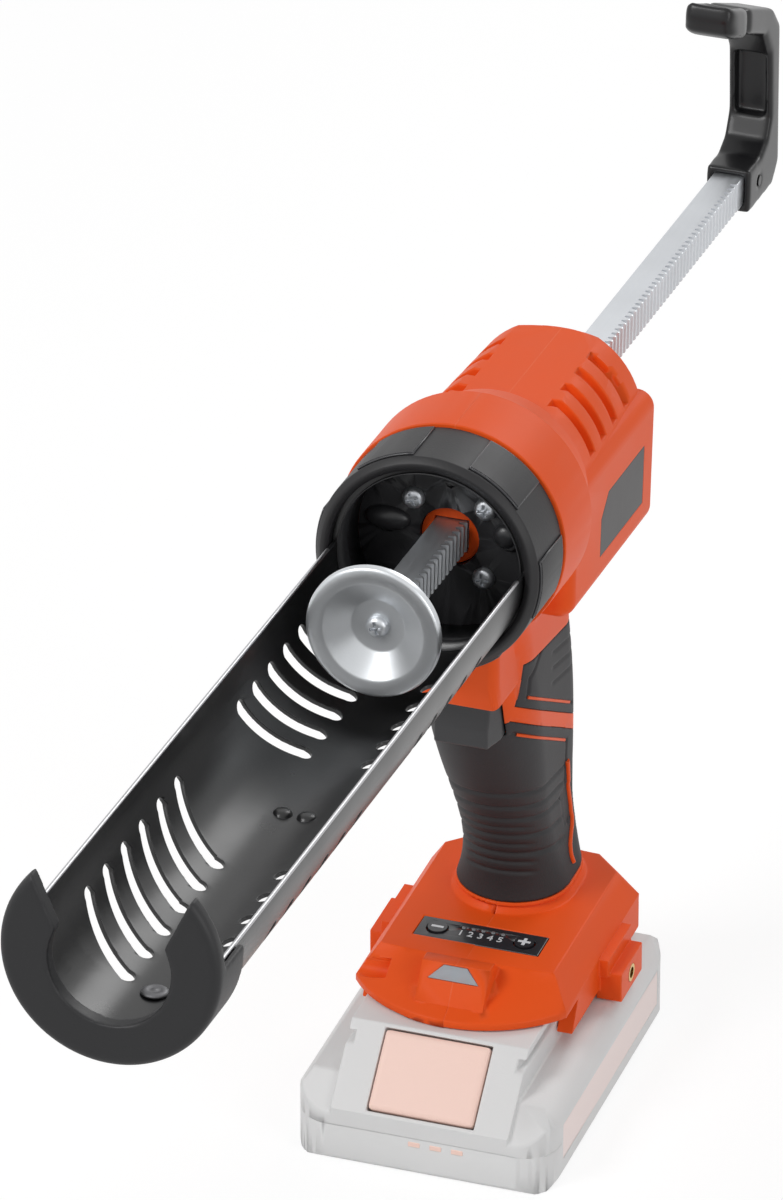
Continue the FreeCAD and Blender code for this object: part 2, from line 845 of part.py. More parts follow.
def lamp_pad():
    """The raised block on the apron that carries the lamp."""
    floor = foot_bottom + 1
    outline = [(foot_deck_front - 1, floor), (foot_deck_front - 1, foot_deck - 1), (lamp_pad_rear, lamp_pad_top),
               (lamp_pad_front, lamp_pad_top), (lamp_pad_low_y, lamp_pad_low), (lamp_pad_low_y, floor)]
    return side_prism(outline, lamp_pad_half_width)


def foot_outside():
    low = foot_outline(foot_bottom, foot_half_width, foot_front, foot_front_corner, foot_rear)
    rim = foot_outline(foot_rim_top, foot_half_width, foot_front, foot_front_corner, foot_rear)
    deck = foot_outline(foot_deck, foot_deck_half_width, foot_deck_front - foot_deck_bow, foot_deck_front, foot_deck_rear)
    lower = Part.makeLoft([low, rim], True, True)
    upper = Part.makeLoft([rim, deck], True, True)
    wide = grip_flare_half_width
    deep = grip_flare_half_depth
    neck = Part.makeLoft([oval(foot_deck - 1, wide + foot_neck, deep + foot_neck, grip_flare_middle),
                          oval(grip_flare + 0.5, wide - cover_thickness, deep - cover_thickness, grip_flare_middle)],
                         True, True)
    rails = both(rail_reach, foot_half_width - 1, skirt_front + skirt_nose, skirt_rear, rail_bottom, rail_bottom + rail_height)
    bosses = both(foot_half_width - 1, boss_reach, boss_front, boss_rear, boss_bottom, boss_top)
    steps = both(foot_half_width - 1, boss_step_reach, boss_front - 1, boss_rear + 1, boss_top - 1, boss_step_top)
    body = lower.fuse([upper, neck, skirt(1), skirt(-1), rails, bosses, steps, lamp_pad()])
    notch = Part.makeCylinder(notch_radius, foot_half_width, V(notch_end, notch_y, notch_height), V(-1, 0, 0))
    return body.cut(notch)


def band_height_at(y):
    """Height of the slanted band's lower edge."""
    return band_height - band_slope * (y - strip_rear)


def grip_bands():
    """The slanted band and the upright strip that stay bare between the covers."""
    half = 2 * grip_top_half_width
    front_y = grip_middle_at(grip_top) - 2 * grip_top_half_depth
    rear_y = grip_flare_middle + 2 * grip_flare_half_depth
    high = grip_top + 1
    low = grip_flare - 1
    band = [(front_y, band_height_at(front_y)), (rear_y, band_height_at(rear_y)),
            (rear_y, band_height_at(rear_y) + band_width), (front_y, band_height_at(front_y) + band_width)]
    strip = [(front_y, strip_bottom), (strip_rear - band_width, strip_bottom), (strip_rear, band_height),
             (strip_rear, high), (front_y, high)]
    rear_top = pad_top - pad_top_slope * (rear_y - strip_rear)
    top = [(front_y, pad_top), (strip_rear, pad_top), (rear_y, rear_top), (rear_y, high), (front_y, high)]
    bottom = [(front_y, low), (rear_y, low), (rear_y, grip_flare + 1), (front_y, grip_flare + 1)]
    return [side_prism(outline, half) for outline in (band, strip, top, bottom)]


def bare_grip():
    """What the covers leave bare, run up into the barrel."""
    z, wide, deep, middle = grip_stations()[0]
    cap = Part.Face(oval(z, wide, deep, middle)).extrude(V(0, 0, grip_cap))
    return joined(grip_solid(0).common(joined(*grip_bands())), cap)


def cover_skin():
    """The layer that the soft covers share: the grip's outside less its core."""
    hard = [grip_solid(cover_thickness), on_barrel(guard_outside()), switch_room()]
    return grip_solid(0).cut(hard + grip_bands())


def strap_zone(margin):
    """Behind the grip's middle line, as wide as the strap."""
    rear = grip_flare_middle + 2 * grip_flare_half_depth
    low = grip_flare - 1
    high = grip_top + 1
    outline = [(grip_middle_at(high), high), (grip_middle_at(grip_waist), grip_waist), (grip_flare_middle, low),
               (rear, low), (rear, high)]
    return side_prism(outline, strap_half_width + margin)


def band_plane_split():
    """Everything above the slanted band, as a block."""
    front_y = grip_middle_at(grip_top) - 2 * grip_top_half_depth
    rear_y = grip_flare_middle + 2 * grip_flare_half_depth
    middle = band_width / 2
    high = 2 * grip_top
    outline = [(front_y, band_height_at(front_y) + middle), (rear_y, band_height_at(rear_y) + middle),
               (rear_y, high), (front_y, high)]
    return side_prism(outline, 2 * grip_top_half_width)


def cavity_barrel():
    """The hollow round the rod and the gears, in the barrel's own directions."""
    hollow = drum(hollow_radius, wall_rear, housing_rear - shell_wall)
    low_box = box(-cheek_half_width + shell_wall, cheek_half_width - shell_wall, cheek_front + shell_wall,
                  housing_rear - shell_wall, -cheek_bottom + shell_wall, cheek_top - shell_wall)
    front_bore = drum(neck_bore_radius, neck_front - 1, wall_front)
    guard = box(-guard_half_width + shell_wall, guard_half_width - shell_wall, guard_front + 2 * shell_wall,
                guard_rear - shell_wall, -guard_bottom - 1, -hollow_radius + shell_wall)
    return hollow.fuse([low_box, front_bore, guard])


def cavity_grip():
    inset = cover_thickness + shell_wall
    throat = oval(grip_top - 1, grip_top_half_width - inset, grip_top_half_depth - inset - 4, grip_middle_at(grip_top) + 4)
    return grip_solid(inset).fuse(Part.Face(throat).extrude(V(0, 0, 12)))


def cavity_foot():
    half = foot_deck_half_width - shell_wall
    room = box(-half, half, foot_deck_front + shell_wall, foot_deck_rear - foot_corner,
               foot_bottom + shell_wall, foot_deck - shell_wall)
    return room.fuse(post(grip_waist_half_width - shell_wall - cover_thickness, foot_deck - 2 * shell_wall,
                          grip_flare + shell_wall, 0, grip_flare_middle))


def switch_room():
    """The opening in the guard's underside and grip front that the trigger moves in."""
    half = trigger_half_width + slide_gap
    return box(-half, half, trigger_front - 2, trigger_front + trigger_depth + trigger_travel + slide_gap,
               trigger_bottom - slide_gap, trigger_top + slide_gap)


def vents():
    """Shallow slots over the barrel's upper sides."""
    cuts = []
    for k in range(vent_count):
        place = vent_first + k * vent_pitch
        groove = ring(gear_barrel_front_radius + 6, gear_barrel_rear_radius - vent_depth, place, place + vent_width)
        side = both(vent_inner, 2 * vent_inner + gear_barrel_front_radius, place - 1, place + vent_width + 1,
                    cheek_top + vent_margin, gear_barrel_top + vent_margin)
        cuts.append(groove.common(side))
    return cuts


def on_barrel_point(place, height):
    angle = math.radians(barrel_tilt)
    y = lip_y + place * math.cos(angle) + height * math.sin(angle)
    z = axis_height - place * math.sin(angle) + height * math.cos(angle)
    return (y, z)


def housing():
    grip = grip_solid(cover_thickness)
    outside = on_barrel(barrel_outside()).fuse([on_barrel(guard_outside()), grip, foot_outside(), bare_grip()])
    inside = [on_barrel(cavity_barrel()), cavity_grip(), cavity_foot(), switch_room()]
    inside.append(at_drive(post(motor_radius + seat_gap, motor_bottom - seat_gap, motor_top)))
    inside += [on_barrel(cut) for cut in vents()]
    inside.append(on_barrel(drum(plate_hole_radius, wall_front - 1, wall_rear + 1)))
    inside.append(on_barrel(drum(plate_hole_radius + seat_gap, housing_rear - 12, housing_rear + 1)))
    inside += [on_barrel(drum(plate_screw_radius + seat_gap, wall_front - 1, wall_front + plate_screw_length, x, z))
               for x, z in plate_screw_spots()]
    inside.append(box(-panel_half_width - seat_gap, panel_half_width + seat_gap, panel_front - seat_gap,
                      panel_rear + seat_gap, foot_deck - panel_thickness, foot_deck + 1))
    inside += [post(button_radius + slide_gap, foot_bottom + shell_wall + 1, foot_deck + 1, side * button_place, panel_middle())
               for side in (1, -1)]
    inside += [lens_prism(seat_gap, lens_thickness), lamp_drum(seat_gap)]
    for side in (1, -1):
        base = V(side * (boss_reach - insert_length), (boss_front + boss_rear) / 2, (boss_bottom + boss_top) / 2)
        inside.append(Part.makeCylinder(insert_radius, insert_length + 1, base, V(side, 0, 0)))
    inside += [on_barrel(badge_block(side)) for side in (1, -1)]
    inside.append(box(-terminal_half() - seat_gap, terminal_half() + seat_gap, terminal_front() - seat_gap,
                      terminal_rear() + seat_gap, foot_bottom - 1, foot_bottom + shell_wall + 1))
    return outside.cut(inside)


def badge_block(side):
    outline = [
        (badge_front + badge_corner, badge_top), (badge_rear, badge_top), (badge_rear, badge_bottom),
        (badge_front, badge_bottom), (badge_front, badge_top - badge_corner),
    ]
    points = [V(cheek_half_width - badge_thickness, y, z) for y, z in outline]
    block = face_of(points).extrude(V(badge_thickness, 0, 0))
    return block if side > 0 else block.mirror(V(0, 0, 0), V(1, 0, 0))


def terminal_half():
    return blade_pitch * (blade_count - 1) / 2 + blade_inset + 1


def terminal_rear():
    return foot_rear - foot_corner - shell_wall


def terminal_front():
    return terminal_rear() - blade_length - 2 * blade_inset


def housing_bosses():
    """Screw posts across the hollow, and where each one's outside lies."""
    edge = 2 * screw_post_radius
    cheek_y, cheek_z = on_barrel_point(housing_rear - edge - shell_wall, -cheek_bottom + edge)
    guard_y, guard_z = on_barrel_point(guard_front + edge, -shoulder_radius - screw_post_radius)
    return [
        (cheek_y, cheek_z, cheek_half_width),
        (guard_y, guard_z, guard_half_width),
        (grip_middle_at(grip_waist) + screw_post_radius, grip_waist, grip_waist_half_width - cover_thickness),
    ]


def cross_post(radius, start, end, y, z):
    return Part.makeCylinder(radius, end - start, V(start, y, z), V(1, 0, 0))


def side_room(side):
    """A block that takes in the whole left or right side of the tool."""
    reach = axis_height + tray_length + rod_rear
    start = 0 if side > 0 else -reach
    return box(start, start + reach, -reach, reach, -reach, reach)


def housing_halves():
    whole = housing()
    posts = [cross_post(screw_post_radius, -x + 1, x - 1, y, z) for y, z, x in housing_bosses()]
    whole = whole.fuse(posts)
    cuts = []
    for y, z, x in housing_bosses():
        cuts.append(cross_post(screw_head_radius + seat_gap, -x - 2, -x + screw_sink, y, z))
        cuts.append(cross_post(screw_radius + seat_gap, -x, screw_reach + 1, y, z))
    whole = whole.cut(cuts)
    return whole.common(side_room(1)), whole.common(side_room(-1))


def housing_screws():
    screws = []
    for y, z, x in housing_bosses():
        seat = -x + screw_sink
        head = cross_post(screw_head_radius, seat - screw_head_height, seat, y, z)
        shank = cross_post(screw_radius, seat - 0.5, screw_reach, y, z)
        slots = [box(seat - 3, seat - screw_head_height + 1, y - 1.7, y + 1.7, z - 0.4, z + 0.4),
                 box(seat - 3, seat - screw_head_height + 1, y - 0.4, y + 0.4, z - 1.7, z + 1.7)]
        screws.append(joined(head, shank).cut(slots))
    return Part.makeCompound(screws)


# Soft covers

def grip_covers():
    """Front cover, two side pads and the rear strap, from one shared skin."""
    skin = cover_skin()
    strap = skin.common(strap_zone(0))
    rest = skin.cut(strap_zone(strap_margin))
    above = band_plane_split()
    upper = rest.common(above)
    lower = rest.cut(above)
    return lower, upper.common(side_room(1)), upper.common(side_room(-1)), strap


# Trigger and switch

def trigger_rear():
    return trigger_front + trigger_depth


def switch_front():
    return trigger_rear() + trigger_travel + slide_gap


def trigger():
    front = trigger_front
    rear = trigger_rear()
    half = trigger_half_width
    middle = (trigger_bottom + trigger_top) / 2
    bevel_end = front + trigger_bevel_depth
    plan = [(-half, rear), (-half, bevel_end), (-half + trigger_bevel, front),
            (half - trigger_bevel, front), (half, bevel_end), (half, rear)]
    block = face_of([V(x, y, trigger_bottom) for x, y in plan]).extrude(V(0, 0, trigger_top - trigger_bottom))
    hollow_y = front - trigger_hollow_radius + trigger_hollow_depth
    finger = Part.makeCylinder(trigger_hollow_radius, 4 * half, V(-2 * half, hollow_y, middle), V(1, 0, 0))
    block = block.cut(finger)
    stem = drum(trigger_stem_radius, rear - 1, switch_front() + trigger_stem_engage, 0, middle)
    return joined(block, stem)


def switch_module():
    middle = (trigger_bottom + trigger_top) / 2
    front = switch_front()
    body = box(-switch_half_width, switch_half_width, front, front + switch_length,
               middle - switch_height / 2, middle + switch_height / 2)
    bore_end = front + trigger_stem_engage + trigger_travel + slide_gap
    return body.cut(drum(trigger_stem_radius + running_gap, front - 1, bore_end, 0, middle))


# Foot fittings

def panel_middle():
    return (panel_front + panel_rear) / 2


def control_panel():
    low = foot_deck - panel_thickness
    plate = box(-panel_half_width, panel_half_width, panel_front, panel_rear, low, foot_deck)
    holes = [post(button_radius + slide_gap, low - 1, foot_deck + 1, side * button_place, panel_middle()) for side in (1, -1)]
    holes += [post(led_radius + seat_gap, low - 1, foot_deck + 1, x, y) for x, y in led_spots()]
    return plate.cut(holes)


def led_spots():
    start = -led_pitch * (led_count - 1) / 2
    return [(start + k * led_pitch, panel_middle() + led_row) for k in range(led_count)]


def indicator_leds():
    low = foot_deck - panel_thickness
    return Part.makeCompound([post(led_radius, low, foot_deck - seat_gap, x, y) for x, y in led_spots()])


def panel_button(side):
    """A button that stands on the control board and shows through the panel."""
    low = board_top() + button_travel + seat_gap
    cap = post(button_radius, low, foot_deck + button_rise, side * button_place, panel_middle())
    flange = post(button_radius + button_flange, low, low + button_flange, side * button_place, panel_middle())
    return joined(cap, flange)


def board_top():
    return foot_bottom + shell_wall + board_stand + board_thickness


def control_board():
    """The board on four feet over the foot's floor, with a spring pad under each button."""
    half = foot_deck_half_width - shell_wall - seat_gap
    front = foot_deck_front + shell_wall + seat_gap
    rear = panel_rear + 2 * button_radius
    low = board_top() - board_thickness
    board = box(-half, half, front, rear, low, board_top())
    inset = 2 * board_thickness
    feet = [post(board_thickness, low - board_stand, low, side * (half - inset), y)
            for side in (1, -1) for y in (front + inset, rear - inset)]
    pads = [post(led_radius, board_top(), board_top() + seat_gap, side * button_place, panel_middle()) for side in (1, -1)]
    return joined(board, *(feet + pads))


def lamp_directions():
    """Down the lamp pad's face, and out of it."""
    down = V(0, lamp_pad_low_y - lamp_pad_front, lamp_pad_low - lamp_pad_top)
    down.normalize()
    return down, V(0, down.z, -down.y)


def lens_prism(gap, deep):
    """The lens's outline on the pad's face, grown by a gap."""
    down, out = lamp_directions()
    start = V(0, lamp_pad_front, lamp_pad_top) + down * (lens_drop - gap) - out * deep
    end = start + down * (lens_height + 2 * gap)
    across = V(1, 0, 0)
    top = across * (lens_top_half_width + gap)
    low = across * (lens_low_half_width + gap)
    proud = lens_proud + 10 * gap
    return face_of([start - top, start + top, end + low, end - low]).extrude(out * (deep + proud))


def lamp_drum(gap):
    """The lamp behind the lens."""
    down, out = lamp_directions()
    middle = V(0, lamp_pad_front, lamp_pad_top) + down * (lens_drop + lens_height / 2)
    base = middle - out * (lens_thickness + lamp_length)
    return Part.makeCylinder(lamp_radius + gap, lamp_length, base, out)


def lamp_lens():
    return lens_prism(0, lens_thickness)


def hook_insert(side):
    base = V(side * (boss_reach - insert_length), (boss_front + boss_rear) / 2, (boss_bottom + boss_top) / 2)
    body = Part.makeCylinder(insert_radius, insert_length, base, V(side, 0, 0))
    bore = Part.makeCylinder(insert_thread_radius, insert_length + 2, base - V(side, 0, 0), V(side, 0, 0))
    return body.cut(bore)


def hook_inserts():
    return Part.makeCompound([hook_insert(1), hook_insert(-1)])


def blade_spots():
    start = -blade_pitch * (blade_count - 1) / 2
    return [start + k * blade_pitch for k in range(blade_count)]


def terminal_block():
    """The insulator in the foot's floor, with a slit for each blade."""
    block = box(-terminal_half(), terminal_half(), terminal_front(), terminal_rear(), foot_bottom, foot_bottom + shell_wall)
    return block.cut(blade_boxes(foot_bottom - 1, foot_bottom + shell_wall + 1))


def blade_boxes(low, high):
    front = terminal_front() + blade_inset
    half = blade_thickness / 2
    return [box(x - half, x + half, front, front + blade_length, low, high) for x in blade_spots()]


def terminal_blades():
    return Part.makeCompound(blade_boxes(foot_bottom - blade_drop, foot_bottom + shell_wall + 1))


# Drive train, built in the barrel's own directions

def at_drive(shape, x=0.0):
    return on_barrel(moved(shape, x, drive_place, 0))


def pinion_shaft():
    gear = spun(involute_gear(pinion_teeth, rack_module, -pinion_half_height, pinion_half_height, 1.0, 1.05), 180)
    return joined(gear, post(shaft_radius, lower_plate_bottom, upper_plate_top))


def clutch_dog():
    low = wheel_top + 0.3
    high = -pinion_half_height - 0.2
    body = post(bearing_radius, low, high).cut(post(shaft_radius + running_gap, low - 1, high + 1))
    return body.cut(box(-bearing_radius, bearing_radius, -0.8, 0.8, low - 1, low + 0.8).cut(post(shaft_radius + 0.6, low - 2, low + 2)))


def drive_wheel():
    gear = spun(involute_gear(wheel_teeth, spur_module, wheel_bottom, wheel_top), 180)
    return gear.cut(post(shaft_radius + running_gap, wheel_bottom - 1, wheel_top + 1))


def shaft_bearing(low):
    return post(bearing_radius, low, low + gearbox_plate).cut(post(shaft_radius + running_gap, low - 1, low + gearbox_plate + 1))


def planet_carrier():
    output = spun(involute_gear(output_teeth, spur_module, wheel_bottom, wheel_top), 180.0 / output_teeth)
    shaft = post(carrier_shaft_radius, planet_top + 0.3, wheel_bottom + 0.2)
    disc = post(planet_orbit + 2.4, planet_top + 0.3, lower_plate_bottom - 0.3)
    pins = [post(planet_pin_radius, planet_bottom, planet_top + 0.6, planet_orbit * math.cos(a), planet_orbit * math.sin(a))
            for a in planet_angles()]
    return joined(output, shaft, disc, *pins)


def planet_angles():
    return [2 * math.pi * k / planet_count for k in range(planet_count)]


def planet_gear(index):
    angle = planet_angles()[index]
    gear = involute_gear(planet_teeth, planet_module, planet_bottom, planet_top)
    gear = gear.cut(post(planet_pin_radius + running_gap, planet_bottom - 1, planet_top + 1))
    phase = math.degrees(angle) * (1 + sun_teeth / planet_teeth) + 180 - 180.0 / planet_teeth
    return moved(spun(gear, phase), planet_orbit * math.cos(angle), planet_orbit * math.sin(angle), 0)


def ring_gear():
    low = motor_top
    high = lower_plate_bottom
    phase = 360.0 / ring_teeth * (planet_teeth / 2 - 0.5)
    space = involute_gear(ring_teeth, planet_module, planet_bottom - 0.3, high + 1, 1.15, 0.8, -gear_backlash)
    room = post(planet_module * ring_teeth / 2 - 0.8 * planet_module, low - 1, high + 1)
    return post(ring_radius, low, high).cut([spun(space, phase), room])


def motor_can():
    body = post(motor_radius, motor_bottom, motor_top)
    hollow = post(motor_radius - motor_wall, motor_bottom - 1, motor_top - motor_wall * 1.5)
    return body.cut([hollow, post(motor_shaft_radius + running_gap, motor_top - 5, motor_top + 1)])


def motor_end_cap():
    plug = post(motor_radius - motor_wall - seat_gap, motor_bottom, motor_bottom + 3)
    return plug.cut(post(motor_shaft_radius + running_gap, motor_bottom - 1, motor_bottom + 4))


def motor_rotor():
    sun = involute_gear(sun_teeth, planet_module, planet_bottom, planet_top)
    shaft = post(motor_shaft_radius, motor_bottom + 0.5, planet_bottom + 1)
    core = post(rotor_radius, motor_bottom + 8, motor_top - 5)
    return joined(sun, shaft, core)


def motor_magnets():
    shell = post(motor_radius - motor_wall - seat_gap, motor_bottom + 7, motor_top - 4)
    shell = shell.cut(post(rotor_radius + slide_gap, motor_bottom, motor_top))
    far = motor_radius + 1
    return shell.cut(box(-far, far, -3, 3, motor_bottom, motor_top))


def gearbox_lower_plate():
    half = cheek_half_width - shell_wall - seat_gap
    reach = ring_radius + 2
    plate = box(-half, half, -reach, reach, lower_plate_bottom, lower_plate_top)
    holes = [post(carrier_shaft_radius + running_gap, lower_plate_bottom - 1, lower_plate_top + 1),
             post(bearing_radius, lower_plate_bottom - 1, lower_plate_top + 1, pinion_x)]
    return plate.cut(holes)


def gearbox_upper_plate():
    half = math.sqrt((hollow_radius - seat_gap) ** 2 - upper_plate_top ** 2)
    reach = bearing_radius + 5
    plate = box(-half, half, -reach, reach, upper_plate_bottom, upper_plate_top)
    return plate.cut(post(bearing_radius, upper_plate_bottom - 1, upper_plate_top + 1, pinion_x))


# Battery pack

def plan_block(half, front, rear, corner, bottom, top):
    block = box(-half, half, front, rear, bottom, top)
    return rounded(block, corner, lambda e: along(e, V(0, 0, 1)))


def pack_body():
    """The pack's outside: a wide body and a narrower block that carries the rails."""
    bevel = pack_foot_bevel
    rise = pack_shoulder - pack_side_top
    outline = [(pack_front + bevel, 0), (pack_front, bevel), (pack_front, pack_slope - bevel),
               (pack_front + pack_shoulder - pack_slope + bevel, pack_shoulder), (pack_rear - rise, pack_shoulder),
               (pack_rear, pack_side_top), (pack_rear, bevel), (pack_rear - bevel, 0)]
    body = side_prism(outline, pack_half_width)
    plan = plan_block(pack_half_width, pack_front, pack_rear, pack_corner, -1, pack_shoulder + 1)
    half = pack_half_width
    flat = pack_shoulder_half_width
    section = [(-half + bevel, 0), (-half, bevel), (-half, pack_side_top), (-flat, pack_shoulder),
               (flat, pack_shoulder), (half, pack_side_top), (half, bevel), (half - bevel, 0)]
    across = face_of([V(x, pack_front - 1, z) for x, z in section]).extrude(V(0, pack_rear - pack_front + 2, 0))
    body = body.common(plan).common(across)
    run = block_top - pack_slope
    upper = [(pack_front, pack_split), (pack_front, pack_slope), (pack_front + run, block_top),
             (block_rear, block_top), (block_rear, pack_split)]
    block = side_prism(upper, block_half_width)
    grooves = both(rail_reach - slide_gap, block_half_width + 1, pack_front - 1, pack_rear + 1,
                   rail_bottom - slide_gap, rail_bottom + rail_height + slide_gap)
    return body.fuse(block).cut(grooves).removeSplitter()


def pack_hollow():
    """Room for the cells and the links at their ends."""
    half = cell_length / 2 + link_thickness + 2 * seat_gap
    front = cell_first - cell_radius - cell_gap
    rear = cell_first + cell_step * (cell_count - 1) + cell_radius + cell_gap
    return box(-half, half, front, rear, pack_wall, cell_height + cell_radius + cell_gap)


def release_outline(gap):
    """Side view of the release button on the front slope, or of its room."""
    rise = block_top - pack_slope
    low = release_margin * rise - gap
    high = (1 - release_margin) * rise + gap
    out = release_proud / math.sqrt(2) + gap
    deep = (release_thickness - release_proud) / math.sqrt(2)
    if gap:
        deep += release_travel / math.sqrt(2) + gap
    corners = [(low, out), (high, out), (high, -deep), (low, -deep)]
    return [(pack_front + along_slope - outwards, pack_slope + along_slope + outwards) for along_slope, outwards in corners]


def battery_release():
    cap = side_prism(release_outline(0), release_half_width)
    return rounded(cap, release_proud * 0.8, lambda e: along(e, V(1, 0, 0)))


def blade_slots():
    """Slots in the rail block, open to the rear, that the blades slide into."""
    half = blade_thickness / 2 + slide_gap + contact_leaf + seat_gap
    front = terminal_front() + blade_inset - slide_gap
    low = foot_bottom - blade_drop - slide_gap
    return [box(x - half, x + half, front, block_rear + 1, low, block_top + 1) for x in blade_spots()]


def battery_contacts():
    """A pair of leaves beside each blade."""
    near = blade_thickness / 2 + slide_gap
    front = terminal_front() + blade_inset
    low = foot_bottom - blade_drop - slide_gap
    leaves = []
    for x in blade_spots():
        for side in (1, -1):
            middle = x + side * (near + contact_leaf / 2)
            leaves.append(box(middle - contact_leaf / 2, middle + contact_leaf / 2, front, front + blade_length,
                              low, block_top - seat_gap))
    return Part.makeCompound(leaves)


def battery_stripes():
    """Thin inlays in the pack's two sides."""
    inner = pack_half_width - stripe_thickness
    return both(inner, pack_half_width, stripe_front, stripe_rear, stripe_low, stripe_high)


def battery_cases():
    whole = pack_body().cut([pack_hollow(), side_prism(release_outline(slide_gap), release_half_width + slide_gap)])
    whole = whole.cut(blade_slots() + battery_stripes().Solids)
    far = 2 * pack_half_width
    lower_room = box(-far, far, -far, far, -1, pack_split)
    return whole.common(lower_room), whole.cut(lower_room)


def battery_cells():
    half = cell_length / 2
    return Part.makeCompound([cross_post(cell_radius, -half, half, cell_first + k * cell_step, cell_height)
                              for k in range(cell_count)])


def cell_holder():
    """A comb on the case's floor that keeps the cells apart."""
    front = cell_first - cell_radius
    rear = cell_first + cell_step * (cell_count - 1) + cell_radius
    comb = box(-holder_half_width, holder_half_width, front, rear, pack_wall, pack_wall + holder_height)
    half = holder_half_width + 1
    return comb.cut([cross_post(cell_radius + seat_gap, -half, half, cell_first + k * cell_step, cell_height)
                     for k in range(cell_count)])


def cell_links():
    inner = cell_length / 2 + seat_gap
    low = cell_height - link_half_height
    rear = cell_first + cell_step * (cell_count - 1)
    return both(inner, inner + link_thickness, cell_first, rear, low, low + 2 * link_half_height)


def main():
    os.makedirs("parts", exist_ok=True)
    save("tray_shell", on_barrel(tray_shell()))
    save("front_stop", on_barrel(front_stop()))
    save("tray_rivet", on_barrel(tray_rivet()))
    save("collar", on_barrel(collar()))
    save("front_plate", on_barrel(front_plate()))
    save("front_plate_screws", on_barrel(front_plate_screws()))
    save("rod_bush", on_barrel(rod_bush()))
    save("rear_rod_guide", on_barrel(rear_rod_guide()))
    save("rack_rod", on_barrel(rack_rod()))
    save("push_plate", on_barrel(push_plate()))
    save("push_plate_screw", on_barrel(push_plate_screw()))
    save("pull_handle", on_barrel(pull_handle()))
    save("pull_handle_pin", on_barrel(hook_pin()))
    left, right = housing_halves()
    save("housing_left", left)
    save("housing_right", right)
    save("housing_screws", housing_screws())
    save("badge_left", on_barrel(badge_block(1)))
    save("badge_right", on_barrel(badge_block(-1)))
    front_cover, pad_left, pad_right, strap = grip_covers()
    save("grip_front_cover", front_cover)
    save("grip_pad_left", pad_left)
    save("grip_pad_right", pad_right)
    save("grip_rear_strap", strap)
    save("trigger", trigger())
    save("switch_module", switch_module())
    save("control_panel", control_panel())
    save("indicator_leds", indicator_leds())
    save("plus_button", panel_button(1))
    save("minus_button", panel_button(-1))
    save("control_board", control_board())
    save("lamp_lens", lamp_lens())
    save("lamp", lamp_drum(0))
    save("belt_hook_inserts", hook_inserts())
    save("terminal_block", terminal_block())
    save("terminal_blades", terminal_blades())
    save("pinion_shaft", at_drive(pinion_shaft(), pinion_x))
    save("clutch_dog", at_drive(clutch_dog(), pinion_x))
    save("drive_wheel", at_drive(drive_wheel(), pinion_x))
    save("pinion_bearing_lower", at_drive(shaft_bearing(lower_plate_bottom), pinion_x))
    save("pinion_bearing_upper", at_drive(shaft_bearing(upper_plate_bottom), pinion_x))
    save("planet_carrier", at_drive(planet_carrier()))
    for index in range(planet_count):
        save("planet_gear_%d" % (index + 1), at_drive(planet_gear(index)))
    save("ring_gear", at_drive(ring_gear()))
    save("motor_can", at_drive(motor_can()))
    save("motor_end_cap", at_drive(motor_end_cap()))
    save("motor_rotor", at_drive(motor_rotor()))
    save("motor_magnets", at_drive(motor_magnets()))
    save("gearbox_lower_plate", at_drive(gearbox_lower_plate()))
    save("gearbox_upper_plate", at_drive(gearbox_upper_plate()))
    lower, upper = battery_cases()
    save("battery_lower_case", lower)
    save("battery_upper_case", upper)
    save("battery_release", battery_release())
    save("battery_contacts", battery_contacts())
    save("battery_stripes", battery_stripes())
    save("battery_cells", battery_cells())
    save("cell_holder", cell_holder())
    save("cell_links", cell_links())


main()
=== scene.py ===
# %% [markdown]
# # Cordless caulking tool
# The CAD model already holds every solid piece at its true size and on its own moving body. This
# lesson dresses it: each step takes one piece or one finish, says what it is on the real tool, and
# builds it around that fixed frame. Nothing here moves or resizes a CAD piece.

# %% Load the fixed frame
import json
import math

import bmesh
import bpy
import numpy as np
from mathutils import Matrix, Vector
from mathutils.bvhtree import BVHTree
from mathutils.kdtree import KDTree


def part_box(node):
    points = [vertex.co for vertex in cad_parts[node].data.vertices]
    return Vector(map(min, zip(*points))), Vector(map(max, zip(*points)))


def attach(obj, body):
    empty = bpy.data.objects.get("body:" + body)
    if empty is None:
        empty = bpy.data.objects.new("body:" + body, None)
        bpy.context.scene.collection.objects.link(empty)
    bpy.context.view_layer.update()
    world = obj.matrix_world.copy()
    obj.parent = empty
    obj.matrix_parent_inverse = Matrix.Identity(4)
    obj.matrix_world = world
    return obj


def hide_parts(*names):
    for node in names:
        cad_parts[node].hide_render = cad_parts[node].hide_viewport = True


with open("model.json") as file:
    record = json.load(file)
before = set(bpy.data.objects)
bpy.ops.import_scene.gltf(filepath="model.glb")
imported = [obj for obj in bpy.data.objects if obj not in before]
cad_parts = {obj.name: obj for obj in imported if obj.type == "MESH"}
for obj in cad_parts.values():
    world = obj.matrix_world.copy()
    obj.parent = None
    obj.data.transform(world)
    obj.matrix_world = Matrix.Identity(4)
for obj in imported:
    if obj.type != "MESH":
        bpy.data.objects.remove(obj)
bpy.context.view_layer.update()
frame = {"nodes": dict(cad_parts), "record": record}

mm = 0.001
scene = bpy.context.scene
slot_of = {part["node"]: part["material_slot"] for part in frame["record"]["subparts"]}
groups = frame["record"]["behaviour"]["bodies"]
body_of = {node: body for body, nodes in groups.items() for node in nodes}

# %% [markdown]
# ## Camera
# The photograph looks down on the tool from its front left. The view could be matched by eye, but a
# long lens far away is easier to describe with four numbers: a turn, a height angle, a distance and a
# focal length. They are measured from the middle of the collar's front lip, which is easy to find in
# the picture, and two small slides put that point where the photograph has it.

# %% Camera at the photograph's angle
def linked(name, data):
    """A new object in the scene."""
    made = bpy.data.objects.new(name, data)
    scene.collection.objects.link(made)
    return made


